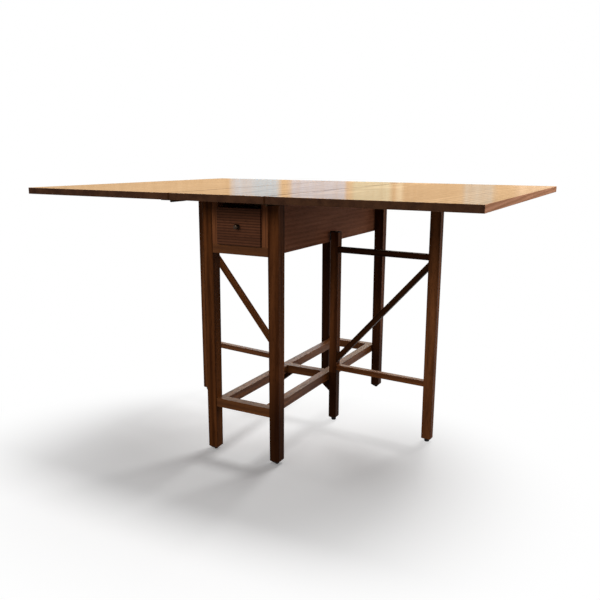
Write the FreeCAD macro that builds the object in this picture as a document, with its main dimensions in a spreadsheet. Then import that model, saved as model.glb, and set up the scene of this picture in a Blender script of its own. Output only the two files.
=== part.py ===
import FreeCAD, Part
import os
import re

import Sketcher

# Gateleg drop-leaf table, in millimetres. X runs from leaf to leaf, the drawer opens towards -Y, Z is up,
# and the origin lies on the floor under the middle of the top. Both leaves are up and both gates are open.

Vector = FreeCAD.Vector
Rotation = FreeCAD.Rotation
Placement = FreeCAD.Placement

SIZES = {
    "top_height": (736.6, "floor to the upper face of the top"),
    "top_thickness": (18, "thickness of all three top boards"),
    "top_depth": (971, "length of the boards, front to back"),
    "centre_width": (284, "width of the fixed centre board"),
    "leaf_width": (513, "width of each leaf"),
    "seam_gap": (1.2, "gap between centre board and leaf"),
    "edge_ease": (1, "rounding of the long wooden edges"),
    "side_overhang": (24, "centre board beyond the outer faces of the legs"),
    "end_overhang": (108.5, "top beyond the ends of the case"),
    "leg_top_side": (32, "side of the leg beside the case"),
    "leg_foot_side": (29, "side of the leg at the foot"),
    "foot_chamfer": (8, "chamfer round the feet of the legs"),
    "glide_height": (3, "height of the glides under the legs"),
    "glide_diameter": (12, "diameter of those glides under the foot"),
    "glide_sole_diameter": (10.5, "diameter of those glides on the floor"),
    "tall_glide_height": (9, "height of the glides under stubs and gates"),
    "tall_glide_diameter": (16, "diameter of the tall glides under the foot"),
    "tall_glide_sole_diameter": (14.5, "diameter of the tall glides on the floor"),
    "apron_height": (144.6, "height of the case"),
    "apron_thickness": (18, "thickness of aprons and back panel"),
    "end_rail_height": (24.5, "height of the rails under drawer and back panel"),
    "end_rail_depth": (25.5, "front-to-back size of those rails"),
    "stretcher_side": (25.5, "side of the square stretchers"),
    "stretcher_top": (160, "floor to the upper faces of the stretchers"),
    "tenon_length": (12, "length of the tenons of rails and stretchers"),
    "tenon_thickness": (8, "thickness of every tenon"),
    "tenon_shoulder": (4, "shoulder above and below every tenon"),
    "joint_clearance": (0.1, "play round tenons, laps and let-in plates"),
    "stub_side": (25, "side of the two stub legs"),
    "stub_chamfer": (3, "chamfer round the feet of the stubs"),
    "gusset_reach": (43, "length of a gusset along the middle stretcher"),
    "gusset_drop": (38, "height of a gusset against the stub"),
    "gusset_tip": (3, "blunt end of a gusset"),
    "gusset_thickness": (18, "thickness of a gusset"),
    "right_gate_angle": (3, "degrees the open right gate stands in front of square"),
    "left_gate_angle": (6.4, "degrees the open left gate stands behind square"),
    "gate_fold_room": (13.2, "folded gate to the leg it lies beside"),
    "gate_post_side": (25, "side of the gate post"),
    "post_corner": (4, "chamfer of the post corner that passes the apron"),
    "post_lap": (29, "height of the post above the case bottom"),
    "gate_leg_width": (31, "outer gate leg above the taper, along the gate"),
    "gate_leg_thickness": (24, "outer gate leg above the taper, across the gate"),
    "gate_foot_width": (28.5, "outer gate leg at the foot, along the gate"),
    "gate_foot_thickness": (22, "outer gate leg at the foot, across the gate"),
    "gate_foot_chamfer": (1.8, "chamfer round the foot of a gate leg"),
    "gate_rail_height": (17, "height of the gate rails"),
    "gate_rail_thickness": (18, "thickness of gate rails and brace"),
    "upper_rail_drop": (14, "case bottom down to the upper gate rail"),
    "lower_rail_rise": (9.5, "stretcher top up to the lower gate rail"),
    "brace_cut": (24.5, "height of the plumb cuts of the brace"),
    "brace_foot_rise": (9, "lower gate rail up to the brace"),
    "brace_head_drop": (4, "upper gate rail down to the brace"),
    "left_brace_lift": (3.8, "left brace above the level of the right one"),
    "leaf_rest_gap": (0.2, "gap between gate leg and leaf"),
    "pin_diameter": (8, "diameter of the gate pivot pins"),
    "pin_bury": (24, "length of a pivot pin inside the wood"),
    "pin_wall": (1, "wood left between a pin bore and a tenon"),
    "pin_proud": (1, "upper pivot pin above its bracket"),
    "pin_clearance": (0.05, "running fit round pins"),
    "pivot_gap": (0.5, "end play of the gate under its bracket"),
    "washer_diameter": (20, "diameter of the pivot washers"),
    "washer_thickness": (0.8, "thickness of the pivot washers"),
    "bracket_thickness": (2.5, "plate of the upper pivot brackets"),
    "bracket_width": (24, "width of the upper pivot brackets"),
    "bracket_drop": (24, "leg of the bracket let into the apron"),
    "bracket_reach": (11, "bracket beyond the pivot axis"),
    "screw_diameter": (4, "shank of the wood screws"),
    "screw_head": (7.5, "head of the wood screws"),
    "screw_tip": (1, "blunt tip of the wood screws"),
    "screw_clearance": (0.1, "play round the wood screws"),
    "hinge_screw_length": (14, "screws of the hinges"),
    "bracket_screw_length": (14, "screws of the pivot brackets"),
    "bracket_screw_near": (6, "bracket flange down to its upper screw"),
    "bracket_screw_far": (17, "bracket flange down to its lower screw"),
    "leg_screw_length": (36, "screws from apron into leg"),
    "leg_screw_rise": (25, "end rail up to the lower leg screws"),
    "leg_screw_drop": (35, "top down to the upper leg screws"),
    "top_screw_length": (28, "screws from tie into centre board"),
    "hinge_length": (60, "length of a leaf hinge"),
    "hinge_plate_width": (32, "hinge axis to the edge of a plate"),
    "hinge_plate_thickness": (2, "thickness of a hinge plate"),
    "hinge_screw_reach": (19, "hinge axis to the screws of a plate"),
    "hinge_screw_pitch": (20, "distance between the screws of a plate"),
    "hinge_inset": (40, "end of the top to the middle of the end hinges"),
    "hinge_drop": (0.4, "underside of the top down to the knuckles"),
    "hinge_gap": (0.3, "play between the parts of a hinge"),
    "knuckle_diameter": (6, "diameter of the hinge knuckles"),
    "hinge_pin_diameter": (3, "diameter of the hinge pins"),
    "tie_width": (45, "front-to-back size of the ties under the top"),
    "tie_thickness": (16, "thickness of the ties"),
    "tie_inset": (60, "end of the case to the middle of a tie"),
    "tie_screw_spread": (40, "middle to the screws of a tie"),
    "runner_width": (14, "width of drawer runners and kickers"),
    "runner_height": (12, "height of the drawer runners"),
    "drawer_gap": (0.5, "play between drawer and apron, each side"),
    "drawer_lift": (0.3, "play under the drawer"),
    "kick_gap": (1.5, "play between drawer sides and kickers"),
    "drawer_proud": (6, "closed drawer front in front of the case"),
    "drawer_length": (398, "length of the drawer"),
    "drawer_front_height": (98, "height of the drawer front"),
    "drawer_front_thickness": (18, "thickness of the drawer front"),
    "drawer_side_height": (93, "height of the drawer sides"),
    "drawer_side_thickness": (10, "thickness of drawer sides and back"),
    "drawer_back_drop": (6, "drawer back below the top of the sides"),
    "drawer_bottom_thickness": (5, "thickness of the drawer bottom"),
    "rabbet_depth": (10, "rabbet of the drawer front for the sides"),
    "groove_depth": (4, "groove for the drawer bottom"),
    "groove_rise": (8, "lower edge of the drawer up to that groove"),
    "drawer_stop_depth": (14, "front-to-back size of the drawer stop"),
    "drawer_stop_height": (14, "height of the drawer stop"),
    "knob_rise": (51, "case rail up to the middle of the knob"),
    "knob_diameter": (14, "diameter of the knob"),
    "knob_length": (15, "knob in front of the drawer"),
    "knob_head_thickness": (9, "thickness of the rounded knob head"),
    "knob_rose_diameter": (11, "diameter of the disc at the foot of the knob"),
    "knob_rose_thickness": (2, "thickness of that disc"),
    "knob_neck_diameter": (6.5, "diameter of the knob neck"),
    "knob_grip": (8, "length of the knob screw inside the knob"),
    "knob_screw_head": (8, "head of the knob screw"),
    "knob_screw_head_height": (3, "height of that head"),
    "leaf_stop_length": (40, "length of the gate stops under the leaves"),
    "leaf_stop_width": (16, "width of the gate stops"),
    "leaf_stop_height": (14, "height of the gate stops"),
}

doc = FreeCAD.newDocument("GatelegTable")
sheet = doc.addObject("Spreadsheet::Sheet", "Sizes")
for row, (alias, (value, meaning)) in enumerate(SIZES.items(), 1):
    sheet.set(f"A{row}", meaning)
    sheet.set(f"B{row}", str(value))
    sheet.setAlias(f"B{row}", alias)
doc.recompute()

# Levels and distances worked out from the sizes, as expressions.
UNDERSIDE = "(top_height - top_thickness)"
CASE_BOTTOM = f"({UNDERSIDE} - apron_height)"
RAIL_TOP = f"({CASE_BOTTOM} + end_rail_height)"
LEG_X = "(centre_width / 2 - side_overhang - leg_top_side / 2)"
LEG_Y = "(top_depth / 2 - end_overhang - leg_top_side / 2)"
LEG_FACE = f"({LEG_X} - leg_top_side / 2)"
APRON_FACE = f"({LEG_FACE} - apron_thickness)"
CASE_END = f"({LEG_Y} + leg_top_side / 2)"
RAIL_MIDDLE_Y = f"({CASE_END} - end_rail_depth / 2)"
RAIL_MIDDLE_Z = f"({CASE_BOTTOM} + end_rail_height / 2)"
RAIL_TENON = "(end_rail_height - 2 * tenon_shoulder)"

STRETCHER_LOW = "(stretcher_top - stretcher_side)"
STRETCHER_MIDDLE = "(stretcher_top - stretcher_side / 2)"
STRETCHER_TENON = "(stretcher_side - 2 * tenon_shoulder)"
LEG_TAPER = f"((leg_top_side - leg_foot_side) / 2 / ({CASE_BOTTOM} - glide_height))"
STRETCHER_FACE = f"({LEG_X} - leg_foot_side / 2 - {LEG_TAPER} * (stretcher_top - glide_height))"
STUB_FACE = f"({LEG_X} - stub_side / 2)"
STUB_TENON_LENGTH = "((stub_side - pin_diameter) / 2 - pin_wall)"

POST_FOOT = "(stretcher_top + washer_thickness)"
POST_HEAD = f"({CASE_BOTTOM} + post_lap)"
POST_FACE = "(gate_post_side / 2)"
GATE_MIDDLE = "((gate_leg_thickness - gate_post_side) / 2)"
UPPER_RAIL_LOW = f"({CASE_BOTTOM} - upper_rail_drop - gate_rail_height)"
LOWER_RAIL_LOW = "(stretcher_top + lower_rail_rise)"
LOWER_RAIL_TOP = f"({LOWER_RAIL_LOW} + gate_rail_height)"
GATE_TAPER = f"((gate_leg_width - gate_foot_width) / 2 / ({UPPER_RAIL_LOW} - tall_glide_height))"
GATE_REACH = f"({LEG_Y} - leg_top_side / 2 - gate_fold_room - gate_leg_width / 2)"
UPPER_RAIL_END = f"({GATE_REACH} - gate_leg_width / 2)"
LOWER_RAIL_END = (f"({GATE_REACH} - gate_foot_width / 2 - {GATE_TAPER} * "
                  f"({LOWER_RAIL_TOP} - tall_glide_height))")
GATE_TENON_LENGTH = "((gate_post_side - pin_diameter) / 2 - pin_wall)"
GATE_TENON = "(gate_rail_height - 2 * tenon_shoulder)"
PIN_BORE = "(pin_diameter + 2 * pin_clearance)"
BRACKET_SEAT = f"({POST_HEAD} + pivot_gap)"

HINGE_X = "((centre_width + seam_gap) / 2)"
HINGE_Y = "(top_depth / 2 - hinge_inset)"
HINGE_LIFT = "(hinge_drop + knuckle_diameter / 2)"
HINGE_Z = f"({UNDERSIDE} - {HINGE_LIFT})"
PLATE_FACE = f"({UNDERSIDE} - hinge_plate_thickness)"

DRAWER_HALF = f"({APRON_FACE} - drawer_gap)"
DRAWER_INSIDE = f"({DRAWER_HALF} - drawer_side_thickness)"
DRAWER_LOW = f"({RAIL_TOP} + drawer_lift)"
DRAWER_FACE = f"({CASE_END} + drawer_proud)"
DRAWER_BACK = f"(drawer_length - {DRAWER_FACE})"
FRONT_BACK = f"(drawer_front_thickness - {DRAWER_FACE})"
GROOVE_LOW = f"({DRAWER_LOW} + groove_rise)"
GROOVE_TOP = f"({GROOVE_LOW} + drawer_bottom_thickness + joint_clearance)"
RUNNER_START = f"(end_rail_depth - {CASE_END})"
STOP_START = f"({DRAWER_BACK} + drawer_gap)"
RUNNER_LENGTH = f"({STOP_START} + drawer_stop_depth - {RUNNER_START})"
KICKER_LOW = f"({DRAWER_LOW} + drawer_side_height + kick_gap)"
TIE_LOW = f"({UNDERSIDE} - tie_thickness)"

SIDES = {"left": -1, "right": 1}
ENDS = {"front": -1, "back": 1}
SCREW_LEVELS = (f"({RAIL_TOP} + leg_screw_rise)", f"({UNDERSIDE} - leg_screw_drop)")
BRACKET_SCREW_DROPS = ("bracket_screw_near", "bracket_screw_far")
TURNED = {-1: Rotation(Vector(0, 0, 1), 180), 1: Rotation()}
TOWARD = {
    "+x": Rotation(Vector(0, 1, 0), 90),
    "-x": Rotation(Vector(0, 1, 0), -90),
    "+y": Rotation(Vector(1, 0, 0), -90),
    "-y": Rotation(Vector(1, 0, 0), 90),
    "+z": Rotation(),
    "-z": Rotation(Vector(1, 0, 0), 180),
}
ALIASES = re.compile(r"\b(" + "|".join(SIZES) + r")\b")
nodes = []


def bind(thing, expressions):
    """Bind properties to expressions of the sizes in the sheet."""
    for name, text in expressions.items():
        thing.setExpression(name, ALIASES.sub(r"Sizes.\1", str(text)))


def place(thing, at, rotation=Rotation()):
    """Turn a thing and bind its position to three expressions."""
    thing.Placement = Placement(Vector(), rotation)
    bind(thing, {f"Placement.Base.{axis}": text for axis, text in zip("xyz", at)})


def piece(label):
    """A new body that is handed over as a node of its own."""
    owner = doc.addObject("PartDesign::Body", label)
    nodes.append(owner)
    return owner


def pattern(label):
    """A new body that only serves as the model for copies."""
    return doc.addObject("PartDesign::Body", label)


def copies(label, placed):
    """One node that holds copies of a pattern, each at a place with a rotation."""
    links = []
    for model, at, rotation in placed:
        link = doc.addObject("App::Link", f"{label}_copy")
        link.LinkedObject = model
        place(link, at, rotation)
        links.append(link)
    group = doc.addObject("Part::Compound", label)
    group.Links = links
    nodes.append(group)


def span(side, near, far):
    """Lower end and size of a piece between two distances from the middle on one side."""
    return (near if side > 0 else f"-({far})"), f"({far} - {near})"


def axis_toward(side, axis):
    return ("+" if side > 0 else "-") + axis


def box(owner, kind, low, size):
    thing = owner.newObject(f"PartDesign::{kind}Box", "block")
    bind(thing, dict(zip(("Length", "Width", "Height"), size)))
    place(thing, low)
    return thing


def rod(owner, kind, at, toward, diameter, length):
    thing = owner.newObject(f"PartDesign::{kind}Cylinder", "rod")
    bind(thing, {"Radius": f"({diameter}) / 2", "Height": length})
    place(thing, at, TOWARD[toward])
    return thing


def cone(owner, kind, at, toward, near, far, length):
    thing = owner.newObject(f"PartDesign::{kind}Cone", "cone")
    bind(thing, {"Radius1": f"({near}) / 2", "Radius2": f"({far}) / 2", "Height": length})
    place(thing, at, TOWARD[toward])
    return thing


def wedge(owner, at, rotation, length, thickness, near, far):
    """A bar along its own Y with plumb ends; near and far give the lower and upper edge at each end."""
    thing = owner.newObject("PartDesign::AdditiveWedge", "wedge")
    bind(thing, {
        "Xmin": f"-{thickness} / 2", "Xmax": f"{thickness} / 2",
        "X2min": f"-{thickness} / 2", "X2max": f"{thickness} / 2",
        "Ymin": "0", "Ymax": length,
        "Zmin": near[0], "Zmax": near[1],
        "Z2min": far[0], "Z2max": far[1],
    })
    place(thing, at, rotation)
    return thing


def tongue(owner, kind, at, toward, tall, length):
    """A tenon, or with kind Subtractive its mortise, rooted at a point on the joint face."""
    slack = "joint_clearance" if kind == "Subtractive" else "0"
    across = f"(tenon_thickness + 2 * {slack})"
    high = f"({tall} + 2 * {slack})"
    deep = f"({length} + {slack})"
    x, y, z = at
    low_z = f"{z} - {high} / 2"
    if toward.endswith("x"):
        low_x = x if toward == "+x" else f"{x} - {deep}"
        return box(owner, kind, (low_x, f"{y} - {across} / 2", low_z), (deep, across, high))
    low_y = y if toward == "+y" else f"{y} - {deep}"
    return box(owner, kind, (f"{x} - {across} / 2", low_y, low_z), (across, deep, high))


def screw(label, length):
    """A countersunk wood screw along +Z with its flat head at the origin."""
    owner = pattern(label)
    sink = "((screw_head - screw_diameter) / 2)"
    cone(owner, "Additive", ("0", "0", "0"), "+z", "screw_head", "screw_diameter", sink)
    rod(owner, "Additive", ("0", "0", "0"), "+z", "screw_diameter", f"{length} - screw_diameter")
    tip = ("0", "0", f"{length} - screw_diameter")
    cone(owner, "Additive", tip, "+z", "screw_diameter", "screw_tip", "screw_diameter")
    return owner


def screw_hole(owner, at, toward, length, sunk=False):
    """The hole of a screw whose head face is at the point; sunk in the piece that holds the head."""
    shank = "(screw_diameter + 2 * screw_clearance)"
    rod(owner, "Subtractive", at, toward, shank, f"{length} + screw_clearance")
    if sunk:
        head = "(screw_head + 2 * screw_clearance)"
        cone(owner, "Subtractive", at, toward, head, shank, "(screw_head - screw_diameter) / 2")


def pick(feature, wanted):
    """Names of the edges of a feature that a test accepts."""
    doc.recompute()
    return [f"Edge{number}" for number, edge in enumerate(feature.Shape.Edges, 1) if wanted(edge)]


def runs(axis, least=0.9):
    """A test for straight edges that run along an axis."""
    direction = Vector(*(float(axis == name) for name in "xyz"))
    return lambda edge: abs(edge.tangentAt(edge.FirstParameter).dot(direction)) > least


def ease(owner, feature, wanted):
    eased = owner.newObject("PartDesign::Fillet", "eased")
    eased.Base = (feature, pick(feature, wanted))
    bind(eased, {"Radius": "edge_ease"})
    return eased


def chamfer(owner, feature, wanted, size):
    cut = owner.newObject("PartDesign::Chamfer", "chamfer")
    cut.Base = (feature, pick(feature, wanted))
    bind(cut, {"Size": size})
    return cut


def section(owner, at, across, deep):
    """A rectangle square to Z, centred on a point."""
    sketch = owner.newObject("Sketcher::SketchObject", "section")
    plane = next(item for item in owner.Origin.OriginFeatures if item.Role == "XY_Plane")
    sketch.AttachmentSupport = [(plane, "")]
    sketch.MapMode = "FlatFace"
    corners = [Vector(-5, -5, 0), Vector(5, -5, 0), Vector(5, 5, 0), Vector(-5, 5, 0)]
    for number, corner in enumerate(corners):
        sketch.addGeometry(Part.LineSegment(corner, corners[(number + 1) % 4]), False)
    for number in range(4):
        sketch.addConstraint(Sketcher.Constraint("Coincident", number, 2, (number + 1) % 4, 1))
        sketch.addConstraint(Sketcher.Constraint("Vertical" if number % 2 else "Horizontal", number))
    sketch.addConstraint(Sketcher.Constraint("Symmetric", 0, 1, 1, 2, -1, 1))
    wide = sketch.addConstraint(Sketcher.Constraint("DistanceX", 0, 1, 0, 2, 10))
    high = sketch.addConstraint(Sketcher.Constraint("DistanceY", 1, 1, 1, 2, 10))
    bind(sketch, {f"Constraints[{wide}]": across, f"Constraints[{high}]": deep})
    bind(sketch, {f"AttachmentOffset.Base.{axis}": text for axis, text in zip("xyz", at)})
    return sketch


def tapered_leg(owner, centre, start, top, upper, foot, foot_level, foot_cut):
    """A leg that is straight above the start level and tapers below it to a chamfered foot."""
    shoulder = section(owner, (*centre, start), *upper)
    sole = section(owner, (*centre, foot_level), *foot)
    block = owner.newObject("PartDesign::Pad", "straight")
    block.Profile = shoulder
    bind(block, {"Length": f"{top} - {start}"})
    taper = owner.newObject("PartDesign::AdditiveLoft", "taper")
    taper.Profile = shoulder
    taper.Sections = [sole]
    taper.Ruled = True
    doc.recompute()
    floor = taper.Shape.BoundBox.ZMin + 0.01
    cut = chamfer(owner, taper, lambda edge: edge.BoundBox.ZMax < floor, foot_cut)
    ease(owner, cut, runs("z", 0.3))


def swing(owner, side):
    """Stand a piece at the gate pivot of a side, turned to where the open gate stands."""
    owner.Placement = Placement(Vector(), Rotation(Vector(0, 0, -side), 10))
    angle = "right_gate_angle" if side > 0 else "180 - left_gate_angle"
    bind(owner, {"Placement.Base.x": f"{side} * {LEG_X}", "Placement.Rotation.Angle": angle})


# Patterns for the screws.
hinge_screw = screw("hinge_screw_pattern", "hinge_screw_length")
bracket_screw = screw("bracket_screw_pattern", "bracket_screw_length")
leg_screw = screw("leg_screw_pattern", "leg_screw_length")
top_screw = screw("top_screw_pattern", "top_screw_length")

# Legs, with mortises for the end rails and the end stretchers.
for end_name, end in ENDS.items():
    for side_name, side in SIDES.items():
        leg = piece(f"leg_{end_name}_{side_name}")
        centre = (f"{side} * {LEG_X}", f"{end} * {LEG_Y}")
        tapered_leg(leg, centre, CASE_BOTTOM, UNDERSIDE, ("leg_top_side", "leg_top_side"),
                    ("leg_foot_side", "leg_foot_side"), "glide_height", "foot_chamfer")
        outward = axis_toward(side, "x")
        rail_root = (f"{side} * {LEG_FACE}", f"{end} * {RAIL_MIDDLE_Y}", RAIL_MIDDLE_Z)
        tongue(leg, "Subtractive", rail_root, outward, RAIL_TENON, "tenon_length")
        stretcher_root = (f"{side} * {STRETCHER_FACE}", centre[1], STRETCHER_MIDDLE)
        tongue(leg, "Subtractive", stretcher_root, outward, STRETCHER_TENON, "tenon_length")
        for level in SCREW_LEVELS:
            screw_hole(leg, (f"{side} * {APRON_FACE}", centre[1], level), outward, "leg_screw_length")

# Aprons inside the legs, notched for the end rails and let in for the pivot brackets.
for side_name, side in SIDES.items():
    apron = piece(f"apron_{side_name}")
    low_x, size_x = span(side, APRON_FACE, LEG_FACE)
    board = box(apron, "Additive", (low_x, f"-{CASE_END}", CASE_BOTTOM),
                (size_x, f"2 * {CASE_END}", "apron_height"))
    ease(apron, board, runs("y"))
    for end in ENDS.values():
        low_y, size_y = span(end, f"({CASE_END} - end_rail_depth)", CASE_END)
        box(apron, "Subtractive", (low_x, low_y, CASE_BOTTOM), (size_x, size_y, "end_rail_height"))
        for level in SCREW_LEVELS:
            head = (f"{side} * {APRON_FACE}", f"{end} * {LEG_Y}", level)
            screw_hole(apron, head, axis_toward(side, "x"), "leg_screw_length", sunk=True)
    pocket_x, pocket_depth = span(side, f"({LEG_FACE} - bracket_thickness)", LEG_FACE)
    pocket_low = f"({BRACKET_SEAT} - bracket_drop - joint_clearance)"
    box(apron, "Subtractive", (pocket_x, "-bracket_width / 2 - joint_clearance", pocket_low),
        (pocket_depth, "bracket_width + 2 * joint_clearance",
         "bracket_drop + bracket_thickness + 2 * joint_clearance"))
    for drop in BRACKET_SCREW_DROPS:
        head = (f"{side} * {LEG_FACE}", "0", f"{BRACKET_SEAT} - {drop}")
        screw_hole(apron, head, axis_toward(-side, "x"), "bracket_screw_length")

copies("leg_screws", [
    (leg_screw, (f"{side} * {APRON_FACE}", f"{end} * {LEG_Y}", level), TOWARD[axis_toward(side, "x")])
    for side in SIDES.values() for end in ENDS.values() for level in SCREW_LEVELS
])

# Rails across both ends of the case, tenoned into the legs.
for rail_name, end in (("drawer_rail", -1), ("back_rail", 1)):
    rail = piece(rail_name)
    low_y, size_y = span(end, f"({CASE_END} - end_rail_depth)", CASE_END)
    bar = box(rail, "Additive", (f"-{LEG_FACE}", low_y, CASE_BOTTOM),
              (f"2 * {LEG_FACE}", size_y, "end_rail_height"))
    ease(rail, bar, runs("x"))
    for side in SIDES.values():
        root = (f"{side} * {LEG_FACE}", f"{end} * {RAIL_MIDDLE_Y}", RAIL_MIDDLE_Z)
        tongue(rail, "Additive", root, axis_toward(side, "x"), RAIL_TENON, "tenon_length")

# Panel that closes the back of the case.
back_panel = piece("back_panel")
box(back_panel, "Additive", (f"-{APRON_FACE}", f"{CASE_END} - apron_thickness", RAIL_TOP),
    (f"2 * {APRON_FACE}", "apron_thickness", f"{UNDERSIDE} - {RAIL_TOP}"))

# Ties between the aprons, screwed up into the centre board.
tie = pattern("tie_pattern")
box(tie, "Additive", (f"-{APRON_FACE}", "-tie_width / 2", "0"),
    (f"2 * {APRON_FACE}", "tie_width", "tie_thickness"))
for side in SIDES.values():
    screw_hole(tie, (f"{side} * tie_screw_spread", "0", "0"), "+z", "top_screw_length", sunk=True)
TIE_PLACES = [("0", f"{end} * ({CASE_END} - tie_inset)", TIE_LOW) for end in ENDS.values()]
TIE_SCREWS = [(f"{side} * tie_screw_spread", y, z) for side in SIDES.values() for _, y, z in TIE_PLACES]
copies("top_ties", [(tie, at, Rotation()) for at in TIE_PLACES])
copies("top_screws", [(top_screw, at, Rotation()) for at in TIE_SCREWS])

# Runners under the drawer sides, kickers above them and the stop behind the drawer.
runner = pattern("runner_pattern")
box(runner, "Additive", ("0", "0", "0"), ("runner_width", RUNNER_LENGTH, "runner_height"))
kicker = pattern("kicker_pattern")
box(kicker, "Additive", ("0", "0", "0"), ("runner_width", RUNNER_LENGTH, f"{TIE_LOW} - {KICKER_LOW}"))
STRIP_X = (f"-{APRON_FACE}", f"{APRON_FACE} - runner_width")
copies("drawer_runners", [
    (runner, (x, RUNNER_START, f"{RAIL_TOP} - runner_height"), Rotation()) for x in STRIP_X
])
copies("drawer_kickers", [(kicker, (x, RUNNER_START, KICKER_LOW), Rotation()) for x in STRIP_X])
stop = piece("drawer_stop")
box(stop, "Additive", (f"-{APRON_FACE}", STOP_START, RAIL_TOP),
    (f"2 * {APRON_FACE}", "drawer_stop_depth", "drawer_stop_height"))

# Stretchers across the ends, tenoned into the legs and mortised for the long ones.
for end_name, end in ENDS.items():
    stretcher = piece(f"stretcher_{end_name}")
    bar = box(stretcher, "Additive",
              (f"-{STRETCHER_FACE}", f"{end} * {LEG_Y} - stretcher_side / 2", STRETCHER_LOW),
              (f"2 * {STRETCHER_FACE}", "stretcher_side", "stretcher_side"))
    ease(stretcher, bar, runs("x"))
    for side in SIDES.values():
        root = (f"{side} * {STRETCHER_FACE}", f"{end} * {LEG_Y}", STRETCHER_MIDDLE)
        tongue(stretcher, "Additive", root, axis_toward(side, "x"), STRETCHER_TENON, "tenon_length")
        long_root = (f"{side} * ({STRETCHER_FACE} - stretcher_side / 2)",
                     f"{end} * ({LEG_Y} - stretcher_side / 2)", STRETCHER_MIDDLE)
        tongue(stretcher, "Subtractive", long_root, axis_toward(end, "y"), STRETCHER_TENON, "tenon_length")

# Long stretchers inside the legs, lapped over by the middle one.
LAP_DEPTH = "(stretcher_side / 2)"
for side_name, side in SIDES.items():
    stretcher = piece(f"stretcher_{side_name}")
    low_x, size_x = span(side, f"({STRETCHER_FACE} - stretcher_side)", STRETCHER_FACE)
    half_length = f"({LEG_Y} - stretcher_side / 2)"
    bar = box(stretcher, "Additive", (low_x, f"-{half_length}", STRETCHER_LOW),
              (size_x, f"2 * {half_length}", "stretcher_side"))
    ease(stretcher, bar, runs("y"))
    for end in ENDS.values():
        root = (f"{side} * ({STRETCHER_FACE} - stretcher_side / 2)", f"{end} * {half_length}",
                STRETCHER_MIDDLE)
        tongue(stretcher, "Additive", root, axis_toward(end, "y"), STRETCHER_TENON, "tenon_length")
    box(stretcher, "Subtractive", (low_x, "-stretcher_side / 2 - joint_clearance", STRETCHER_MIDDLE),
        (size_x, "stretcher_side + 2 * joint_clearance", LAP_DEPTH))

# Middle stretcher, lapped over the long ones and tenoned into the stubs.
middle = piece("stretcher_middle")
bar = box(middle, "Additive", (f"-{STUB_FACE}", "-stretcher_side / 2", STRETCHER_LOW),
          (f"2 * {STUB_FACE}", "stretcher_side", "stretcher_side"))
ease(middle, bar, runs("x"))
for side in SIDES.values():
    low_x, size_x = span(side, f"({STRETCHER_FACE} - stretcher_side - joint_clearance)",
                         f"({STRETCHER_FACE} + joint_clearance)")
    box(middle, "Subtractive", (low_x, "-stretcher_side / 2", STRETCHER_LOW),
        (size_x, "stretcher_side", LAP_DEPTH))
    tongue(middle, "Additive", (f"{side} * {STUB_FACE}", "0", STRETCHER_MIDDLE), axis_toward(side, "x"),
           STRETCHER_TENON, STUB_TENON_LENGTH)

# Stub legs under the gate posts, and gussets between stub and middle stretcher.
for side_name, side in SIDES.items():
    stub = piece(f"stub_leg_{side_name}")
    block = box(stub, "Additive", (f"{side} * {LEG_X} - stub_side / 2", "-stub_side / 2", "tall_glide_height"),
                ("stub_side", "stub_side", "stretcher_top - tall_glide_height"))
    doc.recompute()
    floor = block.Shape.BoundBox.ZMin + 0.01
    cut = chamfer(stub, block, lambda edge: edge.BoundBox.ZMax < floor, "stub_chamfer")
    ease(stub, cut, runs("z", 0.3))
    tongue(stub, "Subtractive", (f"{side} * {STUB_FACE}", "0", STRETCHER_MIDDLE), axis_toward(side, "x"),
           STRETCHER_TENON, STUB_TENON_LENGTH)
    rod(stub, "Subtractive", (f"{side} * {LEG_X}", "0", "stretcher_top"), "-z", PIN_BORE, "pin_bury")
    gusset = piece(f"gusset_{side_name}")
    wedge(gusset, (f"{side} * {STUB_FACE}", "0", STRETCHER_LOW), Rotation(Vector(0, 0, 1), 90 * side),
          "gusset_reach", "gusset_thickness", ("-gusset_drop", "0"), ("-gusset_tip", "0"))

# Glides under the legs and the stubs.
glide = pattern("glide_pattern")
cone(glide, "Additive", ("0", "0", "0"), "+z", "glide_sole_diameter", "glide_diameter", "glide_height")
tall_glide = pattern("tall_glide_pattern")
TALL_GLIDE = ("tall_glide_sole_diameter", "tall_glide_diameter", "tall_glide_height")
cone(tall_glide, "Additive", ("0", "0", "0"), "+z", *TALL_GLIDE)
copies("leg_glides", [
    (tall_glide if end == 0 else glide, (f"{side} * {LEG_X}", f"{end} * {LEG_Y}", "0"), Rotation())
    for side in SIDES.values() for end in (-1, 0, 1)
])

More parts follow.
